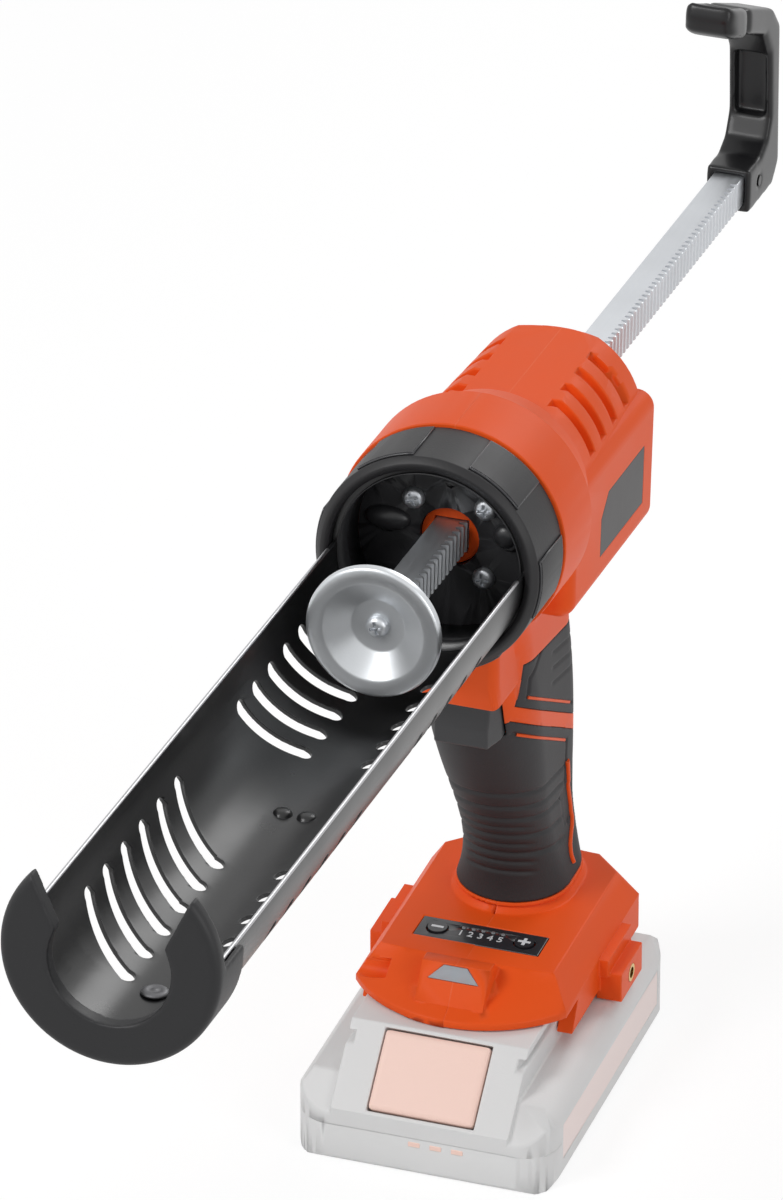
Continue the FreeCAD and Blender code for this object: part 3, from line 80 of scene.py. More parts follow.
lip_centre = Vector((0, -52, 193)) * mm
view_turn = math.radians(18.89)
view_rise = math.radians(29.98)
view_distance = 2945.7 * mm
view_slide = 9.14 * mm
view_drop = 9.0 * mm
film_height = 36.0
focal_length = 327.6

across = Vector((math.cos(view_turn), math.sin(view_turn), 0))
backward = Vector((math.sin(view_turn) * math.cos(view_rise),
                   -math.cos(view_turn) * math.cos(view_rise), math.sin(view_rise)))
upward = backward.cross(across)
stand = lip_centre + backward * view_distance - across * view_slide - upward * view_drop

lens = bpy.data.cameras.new("photo_lens")
lens.sensor_fit = "VERTICAL"
lens.sensor_height = film_height
lens.lens = focal_length
camera = linked("photo_camera", lens)
camera.matrix_world = Matrix.Translation(stand) @ Matrix((across, upward, backward)).transposed().to_4x4()
scene.camera = camera
print("camera stands at", [round(value, 3) for value in stand])

# %% [markdown]
# ## Light, floor and background
# A catalogue picture is lit by large soft boxes on a white sweep. Three area lamps stand for the soft
# boxes and a pale world fills the shadows. The floor's shader shows plain white to the camera and to
# mirrors for the most part, and keeps a share of real shading, so the tool's shadow stays on it.

# %% Soft boxes
tool_middle = Vector((0, -0.02, 0.14))


def soft_box(name, place, size, power):
    """A round lamp that looks at the middle of the tool."""
    light = bpy.data.lights.new(name, "AREA")
    light.shape, light.size, light.energy = "DISK", size, power
    lamp = linked(name, light)
    lamp.location = place
    lamp.rotation_euler = (tool_middle - Vector(place)).to_track_quat("-Z", "Y").to_euler()
    print(name, power, "W")


soft_box("key_box", (-0.75, -0.95, 1.25), 0.7, 11.5)
soft_box("fill_box", (1.25, -0.75, 0.75), 0.9, 5.2)
soft_box("rear_box", (0.35, 1.2, 1.1), 0.8, 6.0)

# %% Pale room
scene.view_settings.view_transform = "Standard"


def add_node(tree, kind, **settings):
    made = tree.nodes.new(kind)
    for name, value in settings.items():
        setattr(made, name, value)
    return made


def feed(source, socket):
    """Give a socket either a link or a plain value."""
    if isinstance(source, bpy.types.NodeSocket):
        socket.id_data.links.new(source, socket)
    else:
        socket.default_value = source


def maths(tree, operation, first, second):
    made = add_node(tree, "ShaderNodeMath", operation=operation)
    feed(first, made.inputs[0])
    feed(second, made.inputs[1])
    return made.outputs[0]


def seen_directly(tree):
    """One where a ray comes from the camera, a mirror or clear plastic, and none elsewhere."""
    path = add_node(tree, "ShaderNodeLightPath").outputs
    mirrored = maths(tree, "MAXIMUM", path["Is Camera Ray"], path["Is Glossy Ray"])
    return maths(tree, "MAXIMUM", mirrored, path["Is Transmission Ray"])


world = bpy.data.worlds.new("white_room")
world.use_nodes = True
scene.world = world
room = world.node_tree
sky = room.nodes["Background"]
sky.inputs["Color"].default_value = (1, 1, 1, 1)
level = add_node(room, "ShaderNodeMapRange")
level.inputs["To Min"].default_value = 0.36
level.inputs["To Max"].default_value = 1.0
feed(seen_directly(room), level.inputs["Value"])
feed(level.outputs["Result"], sky.inputs["Strength"])
print("room:", world.name)


# %% White floor
def mesh_from(shape, name):
    """A plain mesh from a bmesh, which goes."""
    mesh = bpy.data.meshes.new(name)
    shape.to_mesh(mesh)
    shape.free()
    return mesh


floor_radius, floor_white = 12.0, 0.72
floor_shape = bmesh.new()
bmesh.ops.create_circle(floor_shape, cap_ends=True, radius=floor_radius, segments=64)
floor = linked("floor", mesh_from(floor_shape, "floor"))
floor_finish = bpy.data.materials.new("white_sweep")
floor_finish.use_nodes = True
floor_tree = floor_finish.node_tree
floor_paint = floor_tree.nodes["Principled BSDF"]
floor_paint.inputs["Base Color"].default_value = (0.86, 0.86, 0.86, 1)
floor_paint.inputs["Roughness"].default_value = 0.9
floor_glow = add_node(floor_tree, "ShaderNodeEmission")
floor_glow.inputs["Strength"].default_value = 1.12
floor_mix = add_node(floor_tree, "ShaderNodeMixShader")
feed(maths(floor_tree, "MULTIPLY", seen_directly(floor_tree), floor_white), floor_mix.inputs["Fac"])
feed(floor_paint.outputs[0], floor_mix.inputs[1])
feed(floor_glow.outputs[0], floor_mix.inputs[2])
feed(floor_mix.outputs[0], floor_tree.nodes["Material Output"].inputs["Surface"])
floor.data.materials.append(floor_finish)
print("floor: radius", floor_radius, "m")

# %% [markdown]
# ## Shared surface effects
# Moulded plastic, rubber and painted metal all have a fine grain, a slightly uneven tone and soft
# handling marks, and hard edges lose their paint first. Each effect could be drawn again in every
# material. A shader node group is better: it is built once, has named inputs, and every finish below
# places it with its own values. The groups only put out colours and values; the shader itself stays
# in each material.

# %% Helpers for shader groups
def noise(tree, coordinates, scale, detail=2.0):
    made = add_node(tree, "ShaderNodeTexNoise")
    feed(coordinates, made.inputs["Vector"])
    feed(scale, made.inputs["Scale"])
    made.inputs["Detail"].default_value = detail
    return made.outputs["Fac"]


def new_group(name, inputs, outputs):
    group = bpy.data.node_groups.new(name, "ShaderNodeTree")
    for label, kind, value in inputs:
        socket = group.interface.new_socket(name=label, in_out="INPUT", socket_type=kind)
        socket.default_value = value
    for label, kind in outputs:
        group.interface.new_socket(name=label, in_out="OUTPUT", socket_type=kind)
    return group, group.nodes.new("NodeGroupInput"), group.nodes.new("NodeGroupOutput")


def place_group(tree, group, **values):
    made = add_node(tree, "ShaderNodeGroup", node_tree=group)
    for label, value in values.items():
        feed(value, made.inputs[label])
    return made


# %% Moulded grain: fine height, uneven tone, uneven gloss
number, colour_socket, vector_socket = "NodeSocketFloat", "NodeSocketColor", "NodeSocketVector"
grain_group, given, result = new_group(
    "moulded_grain",
    [("Colour", colour_socket, (0.5, 0.5, 0.5, 1)), ("Tint", number, 0.1), ("Roughness", number, 0.5),
     ("Scale", number, 1400.0)],
    [("Colour", colour_socket), ("Roughness", number), ("Height", number)])
where = add_node(grain_group, "ShaderNodeTexCoord").outputs["Object"]
fine = noise(grain_group, where, given.outputs["Scale"])
broad = noise(grain_group, where, 34.0, detail=4.0)
tone = add_node(grain_group, "ShaderNodeHueSaturation")
feed(given.outputs["Colour"], tone.inputs["Color"])
swing = maths(grain_group, "MULTIPLY", maths(grain_group, "SUBTRACT", broad, 0.5), given.outputs["Tint"])
feed(maths(grain_group, "ADD", swing, 1.0), tone.inputs["Value"])
feed(tone.outputs["Color"], result.inputs["Colour"])
gloss = maths(grain_group, "MULTIPLY", maths(grain_group, "SUBTRACT", broad, 0.5), 0.16)
feed(maths(grain_group, "ADD", given.outputs["Roughness"], gloss), result.inputs["Roughness"])
feed(fine, result.inputs["Height"])
print("group:", grain_group.name)

# %% Edge wear: a mask along convex and concave edges
wear_group, given, result = new_group(
    "edge_wear", [("Radius", number, 0.0006), ("Amount", number, 1.0), ("Breakup", number, 300.0)],
    [("Mask", number)])
rounded = add_node(wear_group, "ShaderNodeBevel", samples=6)
feed(given.outputs["Radius"], rounded.inputs["Radius"])
likeness = add_node(wear_group, "ShaderNodeVectorMath", operation="DOT_PRODUCT")
feed(rounded.outputs["Normal"], likeness.inputs[0])
feed(add_node(wear_group, "ShaderNodeNewGeometry").outputs["Normal"], likeness.inputs[1])
edge = maths(wear_group, "MULTIPLY", maths(wear_group, "SUBTRACT", 1.0, likeness.outputs["Value"]), 9.0)
where = add_node(wear_group, "ShaderNodeTexCoord").outputs["Object"]
patchy = maths(wear_group, "MULTIPLY", edge, noise(wear_group, where, given.outputs["Breakup"], detail=4.0))
strength = add_node(wear_group, "ShaderNodeMath", operation="MULTIPLY", use_clamp=True)
feed(patchy, strength.inputs[0])
feed(given.outputs["Amount"], strength.inputs[1])
feed(strength.outputs[0], result.inputs["Mask"])
print("group:", wear_group.name)

# %% Drawn lines: the fine streaks of drawn, rolled or turned metal
line_group, given, result = new_group(
    "drawn_lines", [("Stretch", vector_socket, (1, 1, 1)), ("Roughness", number, 0.3)],
    [("Height", number), ("Roughness", number)])
where = add_node(line_group, "ShaderNodeTexCoord").outputs["Object"]
stretched = add_node(line_group, "ShaderNodeVectorMath", operation="MULTIPLY")
feed(where, stretched.inputs[0])
feed(given.outputs["Stretch"], stretched.inputs[1])
streak = noise(line_group, stretched.outputs["Vector"], 1.0, detail=5.0)
feed(streak, result.inputs["Height"])
spread = maths(line_group, "MULTIPLY", maths(line_group, "SUBTRACT", streak, 0.5), 0.3)
feed(maths(line_group, "ADD", given.outputs["Roughness"], spread), result.inputs["Roughness"])
print("group:", line_group.name)

# %% [markdown]
# ## Finishes
# The record names one finish for each piece. Plastics, rubber and paint are one recipe with different
# numbers: a colour, a gloss, a grain and, where the paint is thin, some wear. Metals are a second
# recipe, with drawn lines in place of grain. Colours are picked from the photograph on the
# usual 0 to 255 scale and turned into the linear values that shaders work in.

# %% Two recipes
def screen_colour(red, green, blue):
    def linear(value):
        share = value / 255
        return share / 12.92 if share <= 0.04045 else ((share + 0.055) / 1.055) ** 2.4
    return (linear(red), linear(green), linear(blue), 1.0)


finishes = {}


def new_finish(slot):
    material = bpy.data.materials.new("finish_" + slot)
    material.use_nodes = True
    finishes[slot] = material
    return material.node_tree, material.node_tree.nodes["Principled BSDF"]


def raised(tree, shader, height, strength, depth):
    """A bump on the shader's normal, its depth in mm."""
    bump = add_node(tree, "ShaderNodeBump")
    bump.inputs["Strength"].default_value = strength
    bump.inputs["Distance"].default_value = depth * mm
    feed(height, bump.inputs["Height"])
    feed(bump.outputs["Normal"], shader.inputs["Normal"])


def moulded(slot, colour, roughness, grain=1400.0, depth=0.04, tint=0.1, coat=0.0, wear=0.0,
            worn=None, shine=0.5):
    """Plastic, rubber or paint: grain, uneven tone and gloss, and wear along the edges."""
    tree, shader = new_finish(slot)
    shader.inputs["Coat Weight"].default_value = coat
    shader.inputs["Specular IOR Level"].default_value = shine
    skin = place_group(tree, grain_group, Colour=screen_colour(*colour), Tint=tint, Roughness=roughness,
                       Scale=grain)
    raised(tree, shader, skin.outputs["Height"], 0.5, depth)
    feed(skin.outputs["Roughness"], shader.inputs["Roughness"])
    if not wear:
        feed(skin.outputs["Colour"], shader.inputs["Base Color"])
        return
    rub = place_group(tree, wear_group, Amount=wear)
    blend = add_node(tree, "ShaderNodeMix", data_type="RGBA")
    feed(rub.outputs["Mask"], blend.inputs["Factor"])
    feed(skin.outputs["Colour"], blend.inputs["A"])
    feed(screen_colour(*worn), blend.inputs["B"])
    feed(blend.outputs["Result"], shader.inputs["Base Color"])


def metal(slot, colour, roughness, stretch, depth=0.01, bare=1.0):
    """Metal, bare or under a thin dull film: its own colour, and fine lines along one direction."""
    tree, shader = new_finish(slot)
    shader.inputs["Metallic"].default_value = bare
    lines = place_group(tree, line_group, Stretch=stretch, Roughness=roughness)
    tarnish = place_group(tree, grain_group, Colour=screen_colour(*colour), Tint=0.22)
    feed(tarnish.outputs["Colour"], shader.inputs["Base Color"])
    raised(tree, shader, lines.outputs["Height"], 0.4, depth)
    feed(lines.outputs["Roughness"], shader.inputs["Roughness"])


# %% Finishes that show
moulded("housing_orange", (235, 86, 26), 0.46, grain=1500, depth=0.03, wear=0.3, worn=(240, 130, 92),
        shine=0.17)
moulded("collar_grey", (23, 22, 24), 0.48, grain=1300, depth=0.06, tint=0.16, wear=0.4, worn=(95, 94, 98),
        shine=0.4)
moulded("tray_black", (24, 24, 25), 0.3, grain=700, depth=0.02, tint=0.3, wear=0.3, worn=(90, 90, 92))
moulded("stop_black", (25, 25, 27), 0.5, grain=1100, depth=0.07, tint=0.2, wear=0.5, worn=(110, 110, 112),
        shine=0.4)
moulded("handle_black", (14, 14, 16), 0.33, grain=500, depth=0.02, tint=0.2, coat=0.08, wear=0.2,
        worn=(90, 90, 92), shine=0.34)
moulded("plate_black", (44, 44, 46), 0.32, grain=600, depth=0.05, tint=0.3, wear=0.5, worn=(110, 110, 110))
moulded("grip_rubber", (38, 37, 39), 0.62, grain=1700, depth=0.08, tint=0.14, shine=0.36)
moulded("badge_grey", (60, 58, 58), 0.5, grain=900, depth=0.03)
moulded("trigger_grey", (42, 42, 44), 0.5, grain=1500, depth=0.05, tint=0.12, wear=0.3,
        worn=(120, 120, 122))
moulded("panel_black", (36, 36, 40), 0.3, grain=2200, depth=0.02, tint=0.15, coat=0.2)
moulded("led_white", (215, 217, 220), 0.25, grain=900, depth=0.01, tint=0.05)
moulded("battery_grey", (222, 222, 222), 0.5, depth=0.05, tint=0.06)
moulded("battery_button", (251, 216, 203), 0.5, depth=0.05, tint=0.05)
moulded("battery_stripe", (244, 228, 224), 0.45, grain=1200, depth=0.03, tint=0.05)
metal("zinc", (206, 209, 213), 0.36, stretch=(900, 20, 900), depth=0.003, bare=0.82)
print("finishes so far:", len(finishes))

# %% Finishes inside the tool
moulded("inner_plastic", (48, 48, 50), 0.5, tint=0.15)
moulded("board_green", (34, 110, 62), 0.4, grain=300, depth=0.02, tint=0.3)
moulded("magnet", (70, 70, 74), 0.55, grain=500, depth=0.05, tint=0.3)
moulded("cell_wrap", (70, 130, 160), 0.3, grain=200, depth=0.02, tint=0.15)
metal("gear_steel", (178, 178, 180), 0.34, stretch=(900, 900, 60))
metal("cast_plate", (190, 192, 194), 0.5, stretch=(700, 700, 700), depth=0.05)
metal("brass", (214, 178, 100), 0.3, stretch=(900, 900, 60))

clear_tree, clear_shader = new_finish("lens_clear")
clear_shader.inputs["Transmission Weight"].default_value = 0.5
clear_shader.inputs["IOR"].default_value = 1.49
haze = place_group(clear_tree, grain_group, Colour=(0.6, 0.65, 0.7, 1), Tint=0.3, Roughness=0.12, Scale=260.0)
feed(haze.outputs["Colour"], clear_shader.inputs["Base Color"])
feed(haze.outputs["Roughness"], clear_shader.inputs["Roughness"])
print("finishes in all:", len(finishes))

# %% [markdown]
# ## Every CAD piece gets its finish
# Gears, cells, screws and other pieces whose CAD shape is already right keep their mesh. They only
# swap the plain colour that came with the file for the finish of their slot.

# %% Assign finishes to the CAD pieces
for name, piece in frame["nodes"].items():
    for slot in piece.material_slots:
        slot.material = finishes["handle_black" if name == "pull_handle_pin" else slot_of[name]]
print("CAD pieces with a finish:", len(frame["nodes"]))

# %% [markdown]
# ## Softened mouldings
# A moulded or cast piece never has a knife edge: a small round runs along every corner and catches
# the light. Modelling it by hand on so many edges would take long. Instead a copy of the CAD mesh is
# welded, each true corner gets a weight, and a Bevel modifier rounds every corner by its weight. The
# seam of the two halves gets a small one, so only a fine line shows. Where a slim face leaves the
# bevel no room and turns over, the corners round it lose weight and the bevel is tried again. A
# vertex that it throws off is brought back to the CAD surface, and a Weighted Normal modifier keeps
# the large faces flat. The result is a plain mesh that stands in for the CAD piece.

# %% Helpers that turn a copy into a finished piece
def add_piece(name, mesh, body, slot, *nodes):
    """Put a finished mesh on a moving body, with its finish, in place of the CAD nodes."""
    piece = linked(name, mesh)
    mesh.materials.clear()
    mesh.materials.append(finishes[slot])
    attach(piece, body)
    if nodes:
        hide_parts(*nodes)
    print(name, len(mesh.polygons), "faces on", body)
    return piece


def welded_copy(node):
    """A CAD node's mesh with its corners welded."""
    shape = bmesh.new()
    shape.from_mesh(frame["nodes"][node].data)
    bmesh.ops.remove_doubles(shape, verts=shape.verts, dist=0.005 * mm)
    bmesh.ops.dissolve_degenerate(shape, edges=shape.edges, dist=0.02 * mm)
    return mesh_from(shape, node)


def evaluated(holder):
    """The plain mesh that an object's modifiers give; the object itself goes."""
    depsgraph = bpy.context.evaluated_depsgraph_get()
    made = bpy.data.meshes.new_from_object(
        holder.evaluated_get(depsgraph), preserve_all_data_layers=True, depsgraph=depsgraph)
    holder.modifiers.clear()
    bpy.data.objects.remove(holder)
    return made


def with_modifiers(mesh, *modifiers):
    """Run modifiers, each given as a kind and its settings."""
    holder = linked("holder", mesh)
    for kind, settings in modifiers:
        modifier = holder.modifiers.new(kind.lower(), kind)
        for name, value in settings.items():
            setattr(modifier, name, value)
    return evaluated(holder)


def kept_close(mesh, node, reach):
    """Bring any vertex further than the reach from the CAD surface back onto it."""
    source = frame["nodes"][node]
    for vertex in mesh.vertices:
        found, place = source.closest_point_on_mesh(vertex.co)[:2]
        if found and (place - vertex.co).length > reach * mm:
            vertex.co = place


def rounded_edges(width, segments, corner):
    return ("BEVEL", dict(width=width * mm, segments=segments, limit_method="ANGLE",
                          angle_limit=math.radians(corner), use_clamp_overlap=False))


flat_faces = ("WEIGHTED_NORMAL", dict(keep_sharp=True, weight=80))


# %% A bevel that gives way where it has no room
least_area = 0.02 * mm * mm
middle_plane = 0.02 * mm
flat_angle = 0.002
against = -0.2
stray, tight_reach = 0.45, 1.6  # shares of the bevel's width
halvings = 3


def turned_over(mesh, surface):
    """The faces that point against the CAD surface beneath them."""
    return [face for face in mesh.polygons if face.area > least_area
            and face.normal.dot(surface.find_nearest(face.center)[1]) < against]


def corner_weights(shape, corner, seam):
    """Mark the true corners for the bevel, and the seam on the middle plane with a smaller weight."""
    weight = shape.edges.layers.float.new("bevel_weight_edge")
    for edge in shape.edges:
        if edge.calc_face_angle(0.0) > math.radians(corner):
            on_seam = all(abs(vertex.co.x) < middle_plane for vertex in edge.verts)
            edge[weight] = seam if on_seam else 1.0
    return weight


def vertex_finder(shape):
    """A search tree of a shape's vertices."""
    finder = KDTree(len(shape.verts))
    for index, vertex in enumerate(shape.verts):
        finder.insert(vertex.co, index)
    finder.balance()
    shape.verts.index_update()
    return finder


def softened(node, width, segments=2, corner=28.0, seam=0.2, tries=6):
    """Round a CAD piece's corners, and less where a face would turn over."""
    shape = bmesh.new()
    shape.from_mesh(welded_copy(node))
    diagonals = [edge for edge in shape.edges if edge.calc_face_angle(1.0) < flat_angle]
    bmesh.ops.beautify_fill(shape, faces=shape.faces, edges=diagonals, method="ANGLE")
    weight = corner_weights(shape, corner, seam)
    surface, finder = BVHTree.FromBMesh(shape), vertex_finder(shape)
    bevel = ("BEVEL", dict(width=width * mm, segments=segments, limit_method="WEIGHT",
                           use_clamp_overlap=False))
    for attempt in range(tries):
        mesh = bpy.data.meshes.new(node)
        shape.to_mesh(mesh)
        mesh.shade_smooth()
        mesh = with_modifiers(mesh, bevel)
        kept_close(mesh, node, stray * width)
        wrong = turned_over(mesh, surface)
        tight = {found[1] for face in wrong for index in face.vertices
                 for found in finder.find_range(mesh.vertices[index].co, tight_reach * width * mm)}
        if not tight:
            break
        for edge in shape.edges:
            if edge.verts[0].index in tight or edge.verts[1].index in tight:
                edge[weight] = edge[weight] / 2 if attempt < halvings else 0.0
    shape.free()
    print(node, "faces turned over:", len(wrong), "after", attempt + 1, "tries")
    return add_piece("soft_" + node, with_modifiers(mesh, flat_faces), body_of[node], slot_of[node], node)


# %% Round the edges of the mouldings
for half in ("housing_left", "housing_right"):
    softened(half, 0.45, corner=42.0)
for badge in ("badge_left", "badge_right"):
    softened(badge, 0.25)
softened("collar", 0.35)
softened("front_plate", 0.5)
softened("rod_bush", 0.3)
softened("control_panel", 0.3)
softened("battery_lower_case", 0.9, segments=3)
softened("battery_upper_case", 0.7, segments=3)
softened("battery_stripes", 0.2)

# %% [markdown]
# ## Cradle tray
# The tray is a steel sheet with punched slots, rolled to a half pipe and painted black. It is made
# here in the same order: the flat sheet is a filled curve whose inner outlines are the slots, it is cut
# into narrow strips so that it can bend, thickened, and rolled round the barrel's axis. A thin bare steel
# bead along each long top edge stands for paint rubbed off by cartridges and paints in the edge highlight.

# %% Helpers for bars and joined meshes
barrel_tilt = math.radians(-4.6)
barrel = Matrix.Translation(lip_centre) @ Matrix.Rotation(barrel_tilt, 4, "X")
facing_front = Matrix.Rotation(math.radians(90), 4, "X")


def on_axis(along, spin=0.0):
    """A place on the barrel's axis, in mm along it, for a turned shape that faces the front."""
    return barrel @ Matrix.Translation((0, along * mm, 0)) @ facing_front @ Matrix.Rotation(spin, 4, "Z")


def along_path(paths, kind, radius=0.0):
    """Paths of points in mm as round bars, or as a flat sheet whose inner paths are holes."""
    curve = bpy.data.curves.new("path", "CURVE")
    curve.dimensions = kind
    curve.fill_mode = "BOTH" if kind == "2D" else "FULL"
    curve.bevel_depth = radius * mm
    curve.bevel_resolution = 3
    curve.use_fill_caps = kind == "3D"
    for path, close in paths:
        line = curve.splines.new("POLY")
        line.points.add(len(path) - 1)
        for point, place in zip(line.points, path):
            point.co = (*(Vector(place).to_3d() * mm), 1)
        line.use_cyclic_u = close
    return evaluated(linked("path", curve))


def merged(meshes, name):
    shape = bmesh.new()
    for mesh in meshes:
        shape.from_mesh(mesh)
    return mesh_from(shape, name)


def lathe(profile, steps=48):
    """Spin a profile of radius and height, in mm, about the upright axis."""
    shape = bmesh.new()
    points = [shape.verts.new((radius * mm, 0, height * mm)) for radius, height in profile]
    rim = [shape.edges.new(pair) for pair in zip(points, points[1:])]
    bmesh.ops.spin(shape, geom=points + rim, cent=(0, 0, 0), axis=(0, 0, 1), angle=math.tau, steps=steps)
    bmesh.ops.remove_doubles(shape, verts=shape.verts, dist=0.002 * mm)
    bmesh.ops.recalc_face_normals(shape, faces=shape.faces)
    return mesh_from(shape, "lathed")


# %% Slots on the flat sheet
sheet_radius, sheet_wall, sheet_edge, sheet_front, sheet_rear = 26.9, 1.2, 1.6, -243.0, 3.6
slot_high, slot_low, slot_wide = 24.5, 68.7, 5.6
slot_rows = ((195.8, 13.5, 12.5, 6), (79.6, 12.3, -8.0, 5))  # first place, pitch, slant, count


def slot_outline(place, slant, side, steps=16):
    """A slot's outline with round ends: distance round the tray, then place along it."""
    middle = []
    for k in range(steps + 1):
        below = slot_high + (slot_low - slot_high) * k / steps
        middle.append((side * sheet_radius * math.radians(90 - below), -place - slant * k / steps))
    half = slot_wide / 2

    def round_end(point, way):
        bends = [math.radians(90 - 18 * k) for k in range(11)]
        return [(point[0] - way * side * half * math.cos(bend), point[1] + way * half * math.sin(bend))
                for bend in bends]

    there = [(s, t + half) for s, t in middle[1:-1]]
    back = [(s, t - half) for s, t in reversed(middle[1:-1])]
    return there + round_end(middle[-1], 1) + back + round_end(middle[0], -1)


reach = sheet_radius * (math.pi / 2 + math.asin(sheet_edge / sheet_radius))
outlines = [[(-reach, sheet_front), (reach, sheet_front), (reach, sheet_rear), (-reach, sheet_rear)]]
for side in (1, -1):
    for first, pitch, slant, count in slot_rows:
        outlines += [slot_outline(first - pitch * k, slant, side) for k in range(count)]
flat_sheet = along_path([(outline, True) for outline in outlines], "2D")
print("flat sheet:", len(flat_sheet.polygons), "faces,", len(outlines) - 1, "slots")

# %% Cut into strips, thicken and roll
sheet = bmesh.new()
sheet.from_mesh(flat_sheet)
strips, lengths = 44, 24
cuts = [((-reach + 2 * reach * k / strips, 0, 0), (1, 0, 0)) for k in range(1, strips)]
sheet_length = sheet_rear - sheet_front
cuts += [((0, sheet_front + sheet_length * k / lengths, 0), (0, 1, 0)) for k in range(1, lengths)]
for place, across_cut in cuts:
    everything = sheet.verts[:] + sheet.edges[:] + sheet.faces[:]
    bmesh.ops.bisect_plane(sheet, geom=everything, plane_co=Vector(place) * mm, plane_no=across_cut,
                           dist=1e-7)
bmesh.ops.remove_doubles(sheet, verts=sheet.verts, dist=0.01 * mm)
thickened = ("SOLIDIFY", dict(thickness=sheet_wall * mm, offset=0.0))
tray_sheet = with_modifiers(mesh_from(sheet, "sheet"), thickened, rounded_edges(0.2, 2, 50))
for vertex in tray_sheet.vertices:
    turn = vertex.co.x / (sheet_radius * mm)
    radius = sheet_radius * mm + vertex.co.z
    vertex.co = (radius * math.sin(turn), vertex.co.y, -radius * math.cos(turn))
rolled = bmesh.new()
rolled.from_mesh(tray_sheet)
bmesh.ops.recalc_face_normals(rolled, faces=rolled.faces)
tray_sheet = mesh_from(rolled, "rolled")
tray_sheet.shade_smooth()
tray_sheet = with_modifiers(tray_sheet, flat_faces)
print("rolled sheet:", len(tray_sheet.polygons), "faces")

# %% Flange and pressed bumps
flange_shape = [(26.3, -3.4), (28.7, -3.4), (29.0, -3.7), (29.0, -5.1), (28.7, -5.4), (26.3, -5.4),
                (26.3, -3.4)]
flange = lathe(flange_shape, steps=96)
flange.transform(facing_front)
bump_shape = [(2.9, -0.3), (2.5, 0.5), (2.0, 1.0), (1.2, 1.25), (0, 1.3)]
bump_pitch, bump_along, bump_foot = 6.9, -105, -26.1
bumps = [lathe(bump_shape, steps=32) for k in range(2)]
for k, bump in enumerate(bumps):
    bump.transform(Matrix.Translation(Vector((bump_pitch * (k - 0.5), bump_along, bump_foot)) * mm))
    bump.shade_smooth()
tray_mesh = merged([tray_sheet, flange] + bumps, "tray")
tray_mesh.transform(barrel)
add_piece("tray_sheet", tray_mesh, "tray", "tray_black", "tray_shell")

# %% Bare steel beads as rubbed paint and painted edge highlights, and rivet
# Each bead is bare steel for rubbed paint, and also a painted highlight along the tray's top edge.
bead_height, bead_radius = sheet_edge - 0.2, 0.62
beads = [([(side * sheet_radius, along, bead_height) for along in (-3, -241)], False) for side in (-1, 1)]
bare_and_sheen_edges = along_path(beads, "3D", bead_radius)
bare_and_sheen_edges.shade_smooth()
bare_and_sheen_edges.transform(barrel)
add_piece("tray_bare_edges", bare_and_sheen_edges, "tray", "gear_steel")

rivet_shape = [(1.9, -3.5), (1.9, 0), (3.8, 0.1), (3.7, 0.5), (3.0, 0.95), (2.1, 1.1), (1.8, 0.9),
               (0.8, 0.9), (0.5, 1.1), (0, 1.15)]
rivet_along, rivet_foot = -212.5, -26.0
rivet = lathe(rivet_shape)
rivet.shade_smooth()
rivet.transform(barrel @ Matrix.Translation(Vector((0, rivet_along, rivet_foot)) * mm))
metal("dull_steel", (112, 112, 114), 0.5, stretch=(900, 900, 900), depth=0.02)
rivet_head = add_piece("tray_rivet_head", rivet, "tray", "gear_steel", "tray_rivet")
rivet_head.data.materials[0] = finishes["dull_steel"]

# %% [markdown]
# ## Collar pads
# Six smooth pads stand on the collar so that it can be turned by hand, each with a thin dark line at
# its foot: painted shade in the crease where the pad meets the collar. The line could be painted by a
# mask from the pad's edges; a fine bar bent round each pad is sharper and stays where the pad is.

# %% Painted shade lines round the pads' feet
def pad_outline(middle, radius=31.95, half=15.3, front=2.7, rear=20.8, steps=10):
    angles = [math.radians(middle - half + 2 * half * k / steps) for k in range(steps + 1)]
    there = [(radius * math.cos(angle), front, radius * math.sin(angle)) for angle in angles]
    back = [(radius * math.cos(angle), rear, radius * math.sin(angle)) for angle in reversed(angles)]
    return there + back


# Thin dark bars at the pads' feet: painted shade for the creases.
first_pad, pad_pitch, shade_line_radius = 115, 60, 0.34
pad_shade_rings = [(pad_outline(first_pad + pad_pitch * k), True) for k in range(6)]
pad_shade_mesh = along_path(pad_shade_rings, "3D", shade_line_radius)
pad_shade_mesh.shade_smooth()
pad_shade_mesh.transform(barrel)
add_piece("collar_pad_lines", pad_shade_mesh, "collar_ring", "panel_black")

# %% [markdown]
# ## Fully rounded pieces
# The front stop, the pull handle, the trigger and the battery's release button are thick mouldings
# with every corner well rounded. Where a bevel would trip over a concave outline, a voxel remesh gives
# an even fine skin over the CAD shape, and a few smoothing rounds turn its corners soft.

# %% Skins with soft corners
def press(mesh, relief):
    """Push each vertex in along its normal by the depth in mm that a relief gives for its place."""
    place = np.empty(len(mesh.vertices) * 3, dtype=np.float32)
    normal = np.empty_like(place)
    mesh.vertices.foreach_get("co", place)
    mesh.vertices.foreach_get("normal", normal)
    place, normal = place.reshape(-1, 3), normal.reshape(-1, 3)
    depth = relief(place / mm, normal)
    place -= normal * depth[:, None] * mm
    mesh.vertices.foreach_set("co", place.ravel())
    mesh.update()


def even_skin(node, voxel, rounds, relief=None):
    mesh = with_modifiers(welded_copy(node),
                          ("REMESH", dict(mode="VOXEL", voxel_size=voxel * mm, use_smooth_shade=True)),
                          ("SMOOTH", dict(factor=0.5, iterations=rounds)))
    if relief:
        press(mesh, relief)
    mesh.shade_smooth()
    return add_piece("skin_" + node, mesh, body_of[node], slot_of[node], node)


